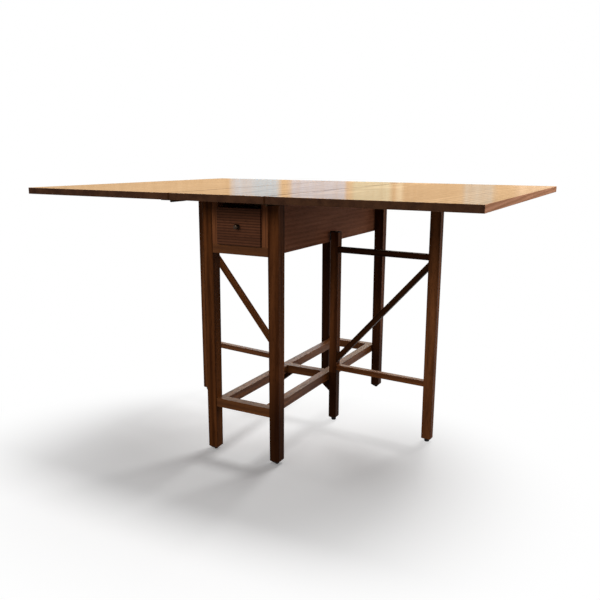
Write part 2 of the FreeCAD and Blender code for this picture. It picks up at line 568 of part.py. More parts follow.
# Gates, each in its own frame: the pivot at the origin and the gate along X.
for side_name, side in SIDES.items():
    post = piece(f"gate_{side_name}_post")
    block = box(post, "Additive", (f"-{POST_FACE}", f"-{POST_FACE}", POST_FOOT),
                ("gate_post_side", "gate_post_side", f"{POST_HEAD} - {POST_FOOT}"))
    upright = runs("z")
    passing = chamfer(post, block,
                      lambda edge: upright(edge) and edge.CenterOfMass.x < 0 < edge.CenterOfMass.y,
                      "post_corner")
    ease(post, passing, lambda edge: upright(edge) and edge.CenterOfMass.x > edge.CenterOfMass.y - 0.01)
    rod(post, "Subtractive", ("0", "0", POST_FOOT), "+z", PIN_BORE, "pin_bury + pivot_gap")
    rod(post, "Subtractive", ("0", "0", POST_HEAD), "-z", PIN_BORE, "pin_bury + pivot_gap")

    gate_leg = piece(f"gate_{side_name}_leg")
    tapered_leg(gate_leg, (GATE_REACH, GATE_MIDDLE), UPPER_RAIL_LOW, f"({UNDERSIDE} - leaf_rest_gap)",
                ("gate_leg_width", "gate_leg_thickness"), ("gate_foot_width", "gate_foot_thickness"),
                "tall_glide_height", "gate_foot_chamfer")

    gate_pieces = [post, gate_leg]
    gate_rails = (("upper", UPPER_RAIL_LOW, UPPER_RAIL_END), ("lower", LOWER_RAIL_LOW, LOWER_RAIL_END))
    for rail_name, low, far in gate_rails:
        rail = piece(f"gate_{side_name}_{rail_name}_rail")
        bar = box(rail, "Additive", (POST_FACE, f"{GATE_MIDDLE} - gate_rail_thickness / 2", low),
                  (f"{far} - {POST_FACE}", "gate_rail_thickness", "gate_rail_height"))
        ease(rail, bar, runs("x"))
        level = f"({low} + gate_rail_height / 2)"
        for root, toward, holder in ((POST_FACE, "-x", post), (far, "+x", gate_leg)):
            at = (root, GATE_MIDDLE, level)
            tongue(rail, "Additive", at, toward, GATE_TENON, GATE_TENON_LENGTH)
            tongue(holder, "Subtractive", at, toward, GATE_TENON, GATE_TENON_LENGTH)
        gate_pieces.append(rail)

    brace = piece(f"gate_{side_name}_brace")
    lift = "0" if side > 0 else "left_brace_lift"
    brace_foot = f"({LOWER_RAIL_TOP} + brace_foot_rise + {lift})"
    brace_head = f"({UPPER_RAIL_LOW} - brace_head_drop + {lift})"
    bar = wedge(brace, (POST_FACE, GATE_MIDDLE, "0"), Rotation(Vector(0, 0, 1), -90),
                f"{UPPER_RAIL_END} - {POST_FACE}", "gate_rail_thickness",
                (brace_foot, f"{brace_foot} + brace_cut"), (f"{brace_head} - brace_cut", brace_head))
    ease(brace, bar, runs("x", 0.3))

    gate_glide = piece(f"gate_{side_name}_glide")
    cone(gate_glide, "Additive", (GATE_REACH, GATE_MIDDLE, "0"), "+z", *TALL_GLIDE)
    for owner in gate_pieces + [brace, gate_glide]:
        swing(owner, side)

# Gate pivots: pins in stub and bracket, washers on the stubs, brackets let into the aprons.
foot_pin = pattern("foot_pin_pattern")
rod(foot_pin, "Additive", ("0", "0", "0"), "+z", "pin_diameter", "2 * pin_bury + washer_thickness")
head_pin = pattern("head_pin_pattern")
rod(head_pin, "Additive", ("0", "0", "0"), "+z", "pin_diameter",
    "pin_bury + pivot_gap + bracket_thickness + pin_proud")
copies("gate_pivot_pins", [
    (model, (f"{side} * {LEG_X}", "0", low), Rotation()) for side in SIDES.values()
    for model, low in ((foot_pin, "stretcher_top - pin_bury"), (head_pin, f"{POST_HEAD} - pin_bury"))
])

washer = pattern("washer_pattern")
rod(washer, "Additive", ("0", "0", "0"), "+z", "washer_diameter", "washer_thickness")
rod(washer, "Subtractive", ("0", "0", "0"), "+z", PIN_BORE, "washer_thickness")
copies("gate_washers", [
    (washer, (f"{side} * {LEG_X}", "0", "stretcher_top"), Rotation()) for side in SIDES.values()
])

bracket = pattern("bracket_pattern")
bracket_low_x = f"({LEG_FACE} - bracket_thickness)"
box(bracket, "Additive", (bracket_low_x, "-bracket_width / 2", f"{BRACKET_SEAT} - bracket_drop"),
    ("bracket_thickness", "bracket_width", "bracket_drop + bracket_thickness"))
box(bracket, "Additive", (bracket_low_x, "-bracket_width / 2", BRACKET_SEAT),
    (f"{LEG_X} + bracket_reach - {bracket_low_x}", "bracket_width", "bracket_thickness"))
rod(bracket, "Subtractive", (LEG_X, "0", BRACKET_SEAT), "+z", PIN_BORE, "bracket_thickness")
for drop in BRACKET_SCREW_DROPS:
    screw_hole(bracket, (LEG_FACE, "0", f"{BRACKET_SEAT} - {drop}"), "-x", "bracket_screw_length", sunk=True)
copies("gate_pivot_brackets", [(bracket, ("0", "0", "0"), TURNED[side]) for side in SIDES.values()])
copies("bracket_screws", [
    (bracket_screw, (f"{side} * {LEG_FACE}", "0", f"{BRACKET_SEAT} - {drop}"),
     TOWARD[axis_toward(-side, "x")])
    for side in SIDES.values() for drop in BRACKET_SCREW_DROPS
])

# Top boards, with pilot holes for the hinges and the ties.
HINGE_ROWS = [f"({row} * {HINGE_Y})" for row in (-1, 0, 1)]
SCREW_ROWS = [f"({row} + {step} * hinge_screw_pitch)" for row in HINGE_ROWS for step in (-1, 0, 1)]
boards = {}
for board_name, side in (("leaf_left", -1), ("top_centre", 0), ("leaf_right", 1)):
    board = piece(board_name)
    low_x, size_x = "-centre_width / 2", "centre_width"
    if side:
        inner = "(centre_width / 2 + seam_gap)"
        low_x, size_x = span(side, inner, f"({inner} + leaf_width)")
    slab = box(board, "Additive", (low_x, "-top_depth / 2", UNDERSIDE), (size_x, "top_depth", "top_thickness"))
    ease(board, slab, lambda edge: True)
    boards[side] = board
for at in TIE_SCREWS:
    screw_hole(boards[0], at, "+z", "top_screw_length")
for side in SIDES.values():
    for y in SCREW_ROWS:
        for board, reach in ((boards[0], -1), (boards[side], 1)):
            at = (f"{side} * ({HINGE_X} + {reach} * hinge_screw_reach)", y, PLATE_FACE)
            screw_hole(board, at, "+z", "hinge_screw_length")

# Leaf hinges, three under each seam: fixed plates with two knuckles, leaf plates with one, and the pins.
KNUCKLE = "((hinge_length - 2 * hinge_gap) / 3)"
KNUCKLE_STARTS = {
    -1: ("(-hinge_length / 2)", f"(hinge_length / 2 - {KNUCKLE})"),
    1: (f"(-{KNUCKLE} / 2)",),
}
plates = {}
for reach, plate_name in ((-1, "fixed_plate_pattern"), (1, "leaf_plate_pattern")):
    plate = pattern(plate_name)
    clear = "(knuckle_diameter / 2 + hinge_gap)"
    low_x, size_x = span(reach, clear, "hinge_plate_width")
    low_z = f"({HINGE_LIFT} - hinge_plate_thickness)"
    box(plate, "Additive", (low_x, "-hinge_length / 2", low_z),
        (size_x, "hinge_length", "hinge_plate_thickness"))
    for start in KNUCKLE_STARTS[reach]:
        web_x, web_size = span(reach, "0", clear)
        box(plate, "Additive", (web_x, start, low_z), (web_size, KNUCKLE, "hinge_plate_thickness"))
        rod(plate, "Additive", ("0", start, "0"), "+y", "knuckle_diameter", KNUCKLE)
    rod(plate, "Subtractive", ("0", "-hinge_length / 2", "0"), "+y", "hinge_pin_diameter + 2 * pin_clearance",
        "hinge_length")
    for step in (-1, 0, 1):
        at = (f"{reach} * hinge_screw_reach", f"{step} * hinge_screw_pitch", low_z)
        screw_hole(plate, at, "+z", "hinge_screw_length", sunk=True)
    plates[reach] = plate
hinge_pin = pattern("hinge_pin_pattern")
rod(hinge_pin, "Additive", ("0", "-hinge_length / 2", "0"), "+y", "hinge_pin_diameter", "hinge_length")


def at_hinges(model, sides):
    return [(model, (f"{side} * {HINGE_X}", y, HINGE_Z), TURNED[side]) for side in sides for y in HINGE_ROWS]


def at_hinge_screws(sides, reach):
    return [
        (hinge_screw, (f"{side} * ({HINGE_X} + {reach} * hinge_screw_reach)", y, PLATE_FACE), Rotation())
        for side in sides for y in SCREW_ROWS
    ]


copies("centre_hinge_plates", at_hinges(plates[-1], SIDES.values()))
copies("centre_hinge_screws", at_hinge_screws(SIDES.values(), -1))
copies("hinge_pins", at_hinges(hinge_pin, SIDES.values()))
for side_name, side in SIDES.items():
    copies(f"leaf_{side_name}_hinge_plates", at_hinges(plates[1], [side]))
    copies(f"leaf_{side_name}_hinge_screws", at_hinge_screws([side], 1))

# Stops under the leaves, in front of the outer legs of the open gates.
for side_name, side in SIDES.items():
    gate_stop = piece(f"leaf_{side_name}_gate_stop")
    box(gate_stop, "Additive",
        (f"{GATE_REACH} - leaf_stop_length / 2", f"-{POST_FACE} - leaf_rest_gap - leaf_stop_width",
         f"{UNDERSIDE} - leaf_stop_height"),
        ("leaf_stop_length", "leaf_stop_width", "leaf_stop_height"))
    swing(gate_stop, side)

# Drawer front, rabbeted for the sides and grooved for the bottom.
KNOB_LEVEL = f"({RAIL_TOP} + knob_rise)"
KNOB_HOLE = "(screw_diameter + 2 * screw_clearance)"
drawer_front = piece("drawer_front")
slab = box(drawer_front, "Additive", (f"-{DRAWER_HALF}", f"-{DRAWER_FACE}", DRAWER_LOW),
           (f"2 * {DRAWER_HALF}", "drawer_front_thickness", "drawer_front_height"))
doc.recompute()
face = slab.Shape.BoundBox.YMin + 0.01
ease(drawer_front, slab, lambda edge: edge.BoundBox.YMax < face)
for side in SIDES.values():
    low_x, size_x = span(side, DRAWER_INSIDE, DRAWER_HALF)
    box(drawer_front, "Subtractive", (low_x, f"{FRONT_BACK} - rabbet_depth", DRAWER_LOW),
        (size_x, "rabbet_depth", "drawer_front_height"))
box(drawer_front, "Subtractive", (f"-{DRAWER_INSIDE}", f"{FRONT_BACK} - groove_depth", GROOVE_LOW),
    (f"2 * {DRAWER_INSIDE}", "groove_depth", f"{GROOVE_TOP} - {GROOVE_LOW}"))
rod(drawer_front, "Subtractive", ("0", FRONT_BACK, KNOB_LEVEL), "-y", KNOB_HOLE, "drawer_front_thickness")

# Drawer sides, back and bottom.
for side_name, side in SIDES.items():
    drawer_side = piece(f"drawer_side_{side_name}")
    start = f"({FRONT_BACK} - rabbet_depth)"
    low_x, size_x = span(side, DRAWER_INSIDE, DRAWER_HALF)
    box(drawer_side, "Additive", (low_x, start, DRAWER_LOW),
        (size_x, f"{DRAWER_BACK} - {start}", "drawer_side_height"))
    groove_x, groove_size = span(side, DRAWER_INSIDE, f"({DRAWER_INSIDE} + groove_depth)")
    box(drawer_side, "Subtractive", (groove_x, start, GROOVE_LOW),
        (groove_size, f"{DRAWER_BACK} - {start}", f"{GROOVE_TOP} - {GROOVE_LOW}"))

drawer_back = piece("drawer_back")
box(drawer_back, "Additive", (f"-{DRAWER_INSIDE}", f"{DRAWER_BACK} - drawer_side_thickness", GROOVE_TOP),
    (f"2 * {DRAWER_INSIDE}", "drawer_side_thickness",
     f"{DRAWER_LOW} + drawer_side_height - drawer_back_drop - {GROOVE_TOP}"))

drawer_bottom = piece("drawer_bottom")
bottom_half = f"({DRAWER_INSIDE} + groove_depth - joint_clearance)"
bottom_start = f"({FRONT_BACK} - groove_depth + joint_clearance)"
box(drawer_bottom, "Additive", (f"-{DRAWER_INSIDE}", bottom_start, GROOVE_LOW),
    (f"2 * {DRAWER_INSIDE}", "groove_depth", "drawer_bottom_thickness"))
box(drawer_bottom, "Additive", (f"-{bottom_half}", FRONT_BACK, GROOVE_LOW),
    (f"2 * {bottom_half}", f"{DRAWER_BACK} - {FRONT_BACK}", "drawer_bottom_thickness"))

# Turned knob, held by a screw from inside the drawer.
knob = piece("knob")
rod(knob, "Additive", ("0", "0", "0"), "+z", "knob_rose_diameter", "knob_rose_thickness")
rod(knob, "Additive", ("0", "0", "0"), "+z", "knob_neck_diameter", "knob_length - knob_head_thickness / 2")
head = knob.newObject("PartDesign::AdditiveEllipsoid", "head")
bind(head, {
    "Radius1": "knob_head_thickness / 2",
    "Radius2": "knob_diameter / 2",
    "Radius3": "knob_diameter / 2",
})
place(head, ("0", "0", "knob_length - knob_head_thickness / 2"))
rod(knob, "Subtractive", ("0", "0", "0"), "+z", KNOB_HOLE, "knob_grip + screw_clearance")
place(knob, ("0", f"-{DRAWER_FACE}", KNOB_LEVEL), TOWARD["-y"])

knob_screw = piece("knob_screw")
rod(knob_screw, "Additive", ("0", FRONT_BACK, KNOB_LEVEL), "+y", "knob_screw_head", "knob_screw_head_height")
rod(knob_screw, "Additive", ("0", FRONT_BACK, KNOB_LEVEL), "-y", "screw_diameter",
    "drawer_front_thickness + knob_grip")

doc.recompute()
for thing in doc.Objects:
    if "Invalid" in thing.State or "Error" in thing.State:
        raise RuntimeError(f"{thing.Label} did not compute: {thing.State}")

os.makedirs("parts", exist_ok=True)
for node in nodes:
    if node.Shape.isNull() or not node.Shape.isValid() or not node.Shape.Solids:
        raise RuntimeError(f"{node.Label} is not a valid solid")
    node.Shape.exportStep(f"parts/{node.Label}.step")
print(f"exported {len(nodes)} nodes")
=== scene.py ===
import math

import bmesh
import bpy
from mathutils import Matrix, Vector


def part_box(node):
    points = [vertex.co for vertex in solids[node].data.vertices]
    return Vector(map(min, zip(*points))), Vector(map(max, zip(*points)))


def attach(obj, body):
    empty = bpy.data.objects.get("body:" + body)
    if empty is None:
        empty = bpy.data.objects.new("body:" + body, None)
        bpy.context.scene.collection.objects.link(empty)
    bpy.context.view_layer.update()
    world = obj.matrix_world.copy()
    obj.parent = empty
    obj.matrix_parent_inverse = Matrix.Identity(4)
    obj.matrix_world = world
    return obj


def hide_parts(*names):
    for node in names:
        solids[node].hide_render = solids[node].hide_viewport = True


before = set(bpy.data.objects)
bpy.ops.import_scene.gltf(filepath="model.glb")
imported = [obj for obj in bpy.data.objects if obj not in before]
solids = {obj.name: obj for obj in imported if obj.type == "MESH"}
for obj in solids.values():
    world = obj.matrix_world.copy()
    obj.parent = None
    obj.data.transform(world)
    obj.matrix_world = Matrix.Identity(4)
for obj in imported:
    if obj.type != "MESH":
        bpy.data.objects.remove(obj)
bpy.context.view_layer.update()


# Legs
# Four square legs of solid walnut, sawn with the grain upright, tapered below the case and cut back at the
# foot. They are planed, sanded and rubbed with oil, so growth rings and open pores show through a low sheen.
def linear(code):
    """An sRGB hex colour as linear red, green, blue and full alpha."""
    parts = [int(code[n:n + 2], 16) / 255 for n in (1, 3, 5)]
    return (*(c / 12.92 if c <= 0.04045 else ((c + 0.055) / 1.055) ** 2.4 for c in parts), 1.0)


def add(tree, kind, inputs=None, **settings):
    """One node: keywords set its properties, inputs set its values or link a socket into it."""
    made = tree.nodes.new(kind)
    for name, value in settings.items():
        setattr(made, name, value)
    for key, value in (inputs or {}).items():
        if isinstance(value, bpy.types.NodeSocket):
            tree.links.new(value, made.inputs[key])
        else:
            made.inputs[key].default_value = value
    return made


def new_material(name):
    """A material, its node tree and the sockets of its surface."""
    material = bpy.data.materials.new(name)
    material.use_nodes = True
    return material, material.node_tree, material.node_tree.nodes["Principled BSDF"].inputs


def finish_with(material, *names):
    """Give CAD nodes a material in place of their plain one."""
    for name in names:
        mesh = solids[name].data
        mesh.materials.clear()
        mesh.materials.append(material)


# The sockets of a Mix node that mixes colours, and the length of one wave of a Wave texture at scale 1.
SHARE, FIRST, SECOND, MIXED = 0, 6, 7, 2
WAVE_LENGTH = 2 * math.pi / 20
# How the grain lies.
UPRIGHT = (0.0, 0.0, 0.0)
ACROSS = (0.0, math.radians(90), 0.0)
LENGTHWISE = (math.radians(-90), 0.0, 0.0)


def oiled_walnut(name, grain, pith, pale, deep, pore, worn_and_highlit, ring_gap=0.016, waver=12.0, ring_share=0.22,
                 dulled=0.42, gloss=0.012):
    """Walnut under oil: far-pith rings, long streaks, dark open pores, and edges painted paler as wear and
    highlight.
    """
    # Streaks are 12 mm wide, and the heartwood darkens over 45 mm. Pores are 0.3 mm wide in walnut; they are
    # drawn 1.2 mm wide so that they show at this distance. Everything is drawn out 14 times along the grain.
    streak_width, heart_width, pore_width, drawn_out = 0.012, 0.045, 0.0012, 14.0
    material, tree, surface = new_material(name)
    place = add(tree, "ShaderNodeTexCoord")
    fibre = add(tree, "ShaderNodeMapping", {
        "Vector": place.outputs["Object"], "Location": pith, "Rotation": grain,
        "Scale": (1.0, 1.0, drawn_out),
    }, vector_type="TEXTURE")
    along = fibre.outputs["Vector"]
    # Growth rings, cut at a slant so that they come out as flames.
    rings = add(tree, "ShaderNodeTexWave", {
        "Vector": along, "Scale": WAVE_LENGTH / ring_gap, "Distortion": waver, "Detail": 2.0,
        "Detail Scale": 0.3, "Detail Roughness": 0.55,
    }, wave_type="RINGS", rings_direction="Z", wave_profile="SIN")
    streaks = add(tree, "ShaderNodeTexNoise", {
        "Vector": along, "Scale": 1 / streak_width, "Detail": 5.0, "Roughness": 0.58, "Distortion": 0.4,
    })
    heart = add(tree, "ShaderNodeTexNoise", {"Vector": along, "Scale": 1 / heart_width, "Detail": 2.0})
    pores = add(tree, "ShaderNodeTexNoise", {"Vector": along, "Scale": 1 / pore_width, "Detail": 2.0})
    pore_mask = add(tree, "ShaderNodeMapRange", {
        "Value": pores.outputs["Fac"], "From Min": 0.54, "From Max": 0.7,
    })
    ring_part = add(tree, "ShaderNodeMath", {0: rings.outputs["Fac"], 1: ring_share}, operation="MULTIPLY")
    figure = add(tree, "ShaderNodeMath", {
        0: streaks.outputs["Fac"], 1: 0.96 - ring_share, 2: ring_part.outputs[0],
    }, operation="MULTIPLY_ADD")
    figure_mask = add(tree, "ShaderNodeMapRange", {
        "Value": figure.outputs[0], "From Min": 0.24, "From Max": 0.74,
    }, interpolation_type="SMOOTHSTEP")
    wood = add(tree, "ShaderNodeMix", {
        SHARE: figure_mask.outputs["Result"], FIRST: linear(pale), SECOND: linear(deep),
    }, data_type="RGBA")
    heart_mask = add(tree, "ShaderNodeMapRange", {
        "Value": heart.outputs["Fac"], "From Min": 0.35, "From Max": 0.7, "To Max": 0.7,
    })
    aged = add(tree, "ShaderNodeMix", {
        SHARE: heart_mask.outputs["Result"], FIRST: wood.outputs[MIXED], SECOND: linear(deep),
    }, data_type="RGBA")
    pore_share = add(tree, "ShaderNodeMath", {
        0: pore_mask.outputs["Result"], 1: 0.5,
    }, operation="MULTIPLY")
    pored = add(tree, "ShaderNodeMix", {
        SHARE: pore_share.outputs[0], FIRST: aged.outputs[MIXED], SECOND: linear(pore),
    }, data_type="RGBA")
    # Edges painted paler, partly as rubbing by hands and feet and partly as painted highlight: where a 2 mm
    # round-over would turn the surface.
    soft = add(tree, "ShaderNodeBevel", {"Radius": 0.002}, samples=4)
    true_face = add(tree, "ShaderNodeNewGeometry")
    turn = add(tree, "ShaderNodeVectorMath", {
        0: soft.outputs["Normal"], 1: true_face.outputs["Normal"],
    }, operation="DOT_PRODUCT")
    edge_wear_and_highlight = add(tree, "ShaderNodeMapRange", {
        "Value": turn.outputs["Value"], "From Min": 0.995, "From Max": 0.8, "To Max": 0.25,
    })
    handled = add(tree, "ShaderNodeTexNoise", {
        "Vector": place.outputs["Object"], "Scale": 30.0, "Detail": 3.0,
    })
    pale_edge_share = add(tree, "ShaderNodeMath", {
        0: edge_wear_and_highlight.outputs["Result"], 1: handled.outputs["Fac"],
    }, operation="MULTIPLY")
    rubbed_and_highlit = add(tree, "ShaderNodeMix", {
        SHARE: pale_edge_share.outputs[0], FIRST: pored.outputs[MIXED], SECOND: linear(worn_and_highlit),
    }, data_type="RGBA")
    tree.links.new(rubbed_and_highlit.outputs[MIXED], surface["Base Color"])
    # Oil dries shinier on the dense late wood than over the pores.
    sheen = add(tree, "ShaderNodeMapRange", {
        "Value": pore_mask.outputs["Result"], "To Min": dulled - 0.06, "To Max": dulled + 0.16,
    })
    tree.links.new(sheen.outputs["Result"], surface["Roughness"])
    # Open pores are sunk, and the rings hardly stand out.
    ridges = add(tree, "ShaderNodeMath", {0: rings.outputs["Fac"], 1: 0.25}, operation="MULTIPLY")
    relief = add(tree, "ShaderNodeMath", {
        0: pore_mask.outputs["Result"], 1: -1.0, 2: ridges.outputs[0],
    }, operation="MULTIPLY_ADD")
    bump = add(tree, "ShaderNodeBump", {
        "Strength": 0.22, "Distance": 0.0004, "Height": relief.outputs[0],
    })
    tree.links.new(bump.outputs["Normal"], surface["Normal"])
    surface["IOR"].default_value = 1.48
    surface["Specular IOR Level"].default_value = gloss
    return material


leg_walnut = oiled_walnut("oiled_walnut_upright", UPRIGHT, (0.21, -0.46, 0.0),
                          "#683d1f", "#371c0c", "#160903", "#7c5030")
finish_with(leg_walnut, "leg_front_left")
# The leg behind it is painted nearly black as shade under the table, like the stubs.
shaded_walnut = oiled_walnut("oiled_walnut_upright_painted_shade", UPRIGHT, (0.25, -0.3, 0.0),
                           "#40230f", "#241208", "#0d0502", "#5e3a20")
finish_with(shaded_walnut, "leg_back_left")
# The right-hand pair comes from a darker plank, and is painted darker towards the foot as shade under the
# table.
heart_walnut = oiled_walnut("oiled_heart_walnut_upright", UPRIGHT, (0.17, -0.52, 0.0),
                            "#6d4123", "#33180a", "#120703", "#7c4c2c")
unshaded_above, darkest_below = 0.27, 0.1
tree = heart_walnut.node_tree
surface = tree.nodes["Principled BSDF"].inputs
place = add(tree, "ShaderNodeTexCoord")
above_floor = add(tree, "ShaderNodeSeparateXYZ", {"Vector": place.outputs["Object"]})
# Painted shade: near black below 10 cm, fading out by 27 cm.
painted_foot_shade = add(tree, "ShaderNodeMapRange", {
    "Value": above_floor.outputs["Z"], "From Min": unshaded_above, "From Max": darkest_below, "To Max": 0.7,
}, interpolation_type="SMOOTHSTEP")
foot_shaded = add(tree, "ShaderNodeMix", {
    SHARE: painted_foot_shade.outputs["Result"], FIRST: surface["Base Color"].links[0].from_socket,
    SECOND: linear("#1d0d06"),
}, data_type="RGBA")
tree.links.new(foot_shaded.outputs[MIXED], surface["Base Color"])
finish_with(heart_walnut, "leg_front_right", "leg_back_right")


# Case
# Two long aprons inside the legs, a panel at the back and a rail under each end, all in walnut. The aprons
# are faced with a redder veneer laid lengthwise; panel and rails are solid, the rails tenoned into the legs.
apron_veneer = oiled_walnut("walnut_veneer_lengthwise", LENGTHWISE, (0.3, 0.0, 0.92),
                            "#8c5e46", "#6d4430", "#3f2318", "#8a5f46",
                            ring_gap=0.011, waver=8.0, ring_share=0.16, dulled=0.5, gloss=0.015)
# The apron ends stand beside drawer and back panel like narrow stiles, lipped with paler upright walnut.
lip_streak = 0.005
tree = apron_veneer.node_tree
surface = tree.nodes["Principled BSDF"].inputs
place = add(tree, "ShaderNodeTexCoord")
upright = add(tree, "ShaderNodeMapping", {
    "Vector": place.outputs["Object"], "Scale": (1.0, 1.0, 25.0),
}, vector_type="TEXTURE")
lip_streaks = add(tree, "ShaderNodeTexNoise", {
    "Vector": upright.outputs["Vector"], "Scale": 1 / lip_streak, "Detail": 4.0,
})
lip_mask = add(tree, "ShaderNodeMapRange", {
    "Value": lip_streaks.outputs["Fac"], "From Min": 0.3, "From Max": 0.7,
})
lipping = add(tree, "ShaderNodeMix", {
    SHARE: lip_mask.outputs["Result"], FIRST: linear("#7d4e30"), SECOND: linear("#553220"),
}, data_type="RGBA")
facing = add(tree, "ShaderNodeSeparateXYZ", {"Vector": place.outputs["Normal"]})
end_share = add(tree, "ShaderNodeMath", {0: facing.outputs["Y"]}, operation="ABSOLUTE")
end_mask = add(tree, "ShaderNodeMapRange", {
    "Value": end_share.outputs[0], "From Min": 0.6, "From Max": 0.8,
})
lipped = add(tree, "ShaderNodeMix", {
    SHARE: end_mask.outputs["Result"], FIRST: surface["Base Color"].links[0].from_socket,
    SECOND: lipping.outputs[MIXED],
}, data_type="RGBA")
tree.links.new(lipped.outputs[MIXED], surface["Base Color"])
finish_with(apron_veneer, "apron_left", "apron_right")
cross_walnut = oiled_walnut("oiled_walnut_across", ACROSS, (0.0, -0.62, 0.8),
                            "#714522", "#4a2912", "#1f0f06", "#8a5a36", gloss=0.08)
finish_with(cross_walnut, "drawer_rail", "back_rail", "back_panel")


# Inside of the case
# Drawer runners and stop are plain beech strips, sawn and sanded, glued and screwed between the aprons. The
# leaf stops are of the same beech; the ties under the top and the kickers are walnut, painted dark as shade
# in the slot above the drawer.
def bare_beech(name, grain):
    """Beech without finish: pale, with short brown ray flecks and a dry, fibrous surface."""
    # Bands 12 mm wide, and flecks about 1 mm wide and up to 14 mm long.
    band_width, fleck_width, drawn_out = 0.012, 0.001, 14.0
    material, tree, surface = new_material(name)
    place = add(tree, "ShaderNodeTexCoord")
    fibre = add(tree, "ShaderNodeMapping", {
        "Vector": place.outputs["Object"], "Rotation": grain, "Scale": (1.0, 1.0, drawn_out),
    }, vector_type="TEXTURE")
    bands = add(tree, "ShaderNodeTexNoise", {
        "Vector": fibre.outputs["Vector"], "Scale": 1 / band_width, "Detail": 3.0, "Roughness": 0.6,
    })
    flecks = add(tree, "ShaderNodeTexNoise", {
        "Vector": fibre.outputs["Vector"], "Scale": 1 / fleck_width, "Detail": 1.0,
    })
    fleck_mask = add(tree, "ShaderNodeMapRange", {
        "Value": flecks.outputs["Fac"], "From Min": 0.6, "From Max": 0.72, "To Max": 0.7,
    })
    wood = add(tree, "ShaderNodeMix", {
        SHARE: bands.outputs["Fac"], FIRST: linear("#d9bd94"), SECOND: linear("#bd9869"),
    }, data_type="RGBA")
    flecked = add(tree, "ShaderNodeMix", {
        SHARE: fleck_mask.outputs["Result"], FIRST: wood.outputs[MIXED], SECOND: linear("#8a6238"),
    }, data_type="RGBA")
    tree.links.new(flecked.outputs[MIXED], surface["Base Color"])
    dry = add(tree, "ShaderNodeMapRange", {"Value": bands.outputs["Fac"], "To Min": 0.6, "To Max": 0.78})
    tree.links.new(dry.outputs["Result"], surface["Roughness"])
    bump = add(tree, "ShaderNodeBump", {
        "Strength": 0.2, "Distance": 0.0003, "Height": flecks.outputs["Fac"],
    })
    tree.links.new(bump.outputs["Normal"], surface["Normal"])
    return material


beech_across = bare_beech("bare_beech_across", ACROSS)
beech_lengthwise = bare_beech("bare_beech_lengthwise", LENGTHWISE)
finish_with(beech_across, "drawer_stop", "leaf_left_gate_stop", "leaf_right_gate_stop")
finish_with(beech_lengthwise, "drawer_runners")
# Ties and kickers are painted dark as shade in the slot above the drawer.
finish_with(heart_walnut, "top_ties", "drawer_kickers")


# Stretchers, stubs and gussets
# Square walnut bars low between the legs: one across each end, two long ones set inside the legs and one
# across the middle, lapped over them. Short stubs carry the gate posts, with glued gussets under the bar.
finish_with(cross_walnut, "stretcher_front", "stretcher_back", "stretcher_middle")
long_walnut = oiled_walnut("oiled_walnut_lengthwise", LENGTHWISE, (0.16, 0.0, 0.33),
                           "#7c4c26", "#4e2b14", "#1f0f06", "#8f5f3a", gloss=0.08)
finish_with(long_walnut, "stretcher_left", "stretcher_right")
# Stubs and gussets take the same walnut, painted nearly black as shade under the table.
finish_with(shaded_walnut, "stub_leg_left", "stub_leg_right", "gusset_left", "gusset_right")


# Foot glides
# Black moulded nylon cups pushed in on a stem: low ones under the four legs, 9 mm high ones under stubs and
# gates. Each narrows to the floor and has a small lip, scuffed grey where it slides.
scuffed_nylon, tree, surface = new_material("scuffed_nylon")
# Moulding grain of 0.4 mm, and scuffs 5 mm long.
mould_grain, scuff_length = 0.0004, 0.005
place = add(tree, "ShaderNodeTexCoord")
grain = add(tree, "ShaderNodeTexNoise", {
    "Vector": place.outputs["Object"], "Scale": 1 / mould_grain, "Detail": 2.0,
})
scuffs = add(tree, "ShaderNodeTexNoise", {
    "Vector": place.outputs["Object"], "Scale": 1 / scuff_length, "Detail": 4.0,
})
scuff_mask = add(tree, "ShaderNodeMapRange", {
    "Value": scuffs.outputs["Fac"], "From Min": 0.5, "From Max": 0.75,
})
nylon = add(tree, "ShaderNodeMix", {
    SHARE: scuff_mask.outputs["Result"], FIRST: linear("#080707"), SECOND: linear("#1b1918"),
}, data_type="RGBA")
tree.links.new(nylon.outputs[MIXED], surface["Base Color"])
dulling = add(tree, "ShaderNodeMapRange", {"Value": scuffs.outputs["Fac"], "To Min": 0.38, "To Max": 0.66})
tree.links.new(dulling.outputs["Result"], surface["Roughness"])
bump = add(tree, "ShaderNodeBump", {"Strength": 0.15, "Distance": 0.0002, "Height": grain.outputs["Fac"]})
tree.links.new(bump.outputs["Normal"], surface["Normal"])
# Dust from the floor takes most of the shine.
surface["Specular IOR Level"].default_value = 0.12


def new_group(name, lengths):
    """A node group that takes points, some lengths and a material, and gives back a mesh."""
    group = bpy.data.node_groups.new(name, "GeometryNodeTree")
    group.interface.new_socket("Geometry", in_out="INPUT", socket_type="NodeSocketGeometry")
    for label in lengths:
        group.interface.new_socket(label, in_out="INPUT", socket_type="NodeSocketFloat")
    group.interface.new_socket("Material", in_out="INPUT", socket_type="NodeSocketMaterial")
    group.interface.new_socket("Geometry", in_out="OUTPUT", socket_type="NodeSocketGeometry")
    return group, add(group, "NodeGroupInput").outputs


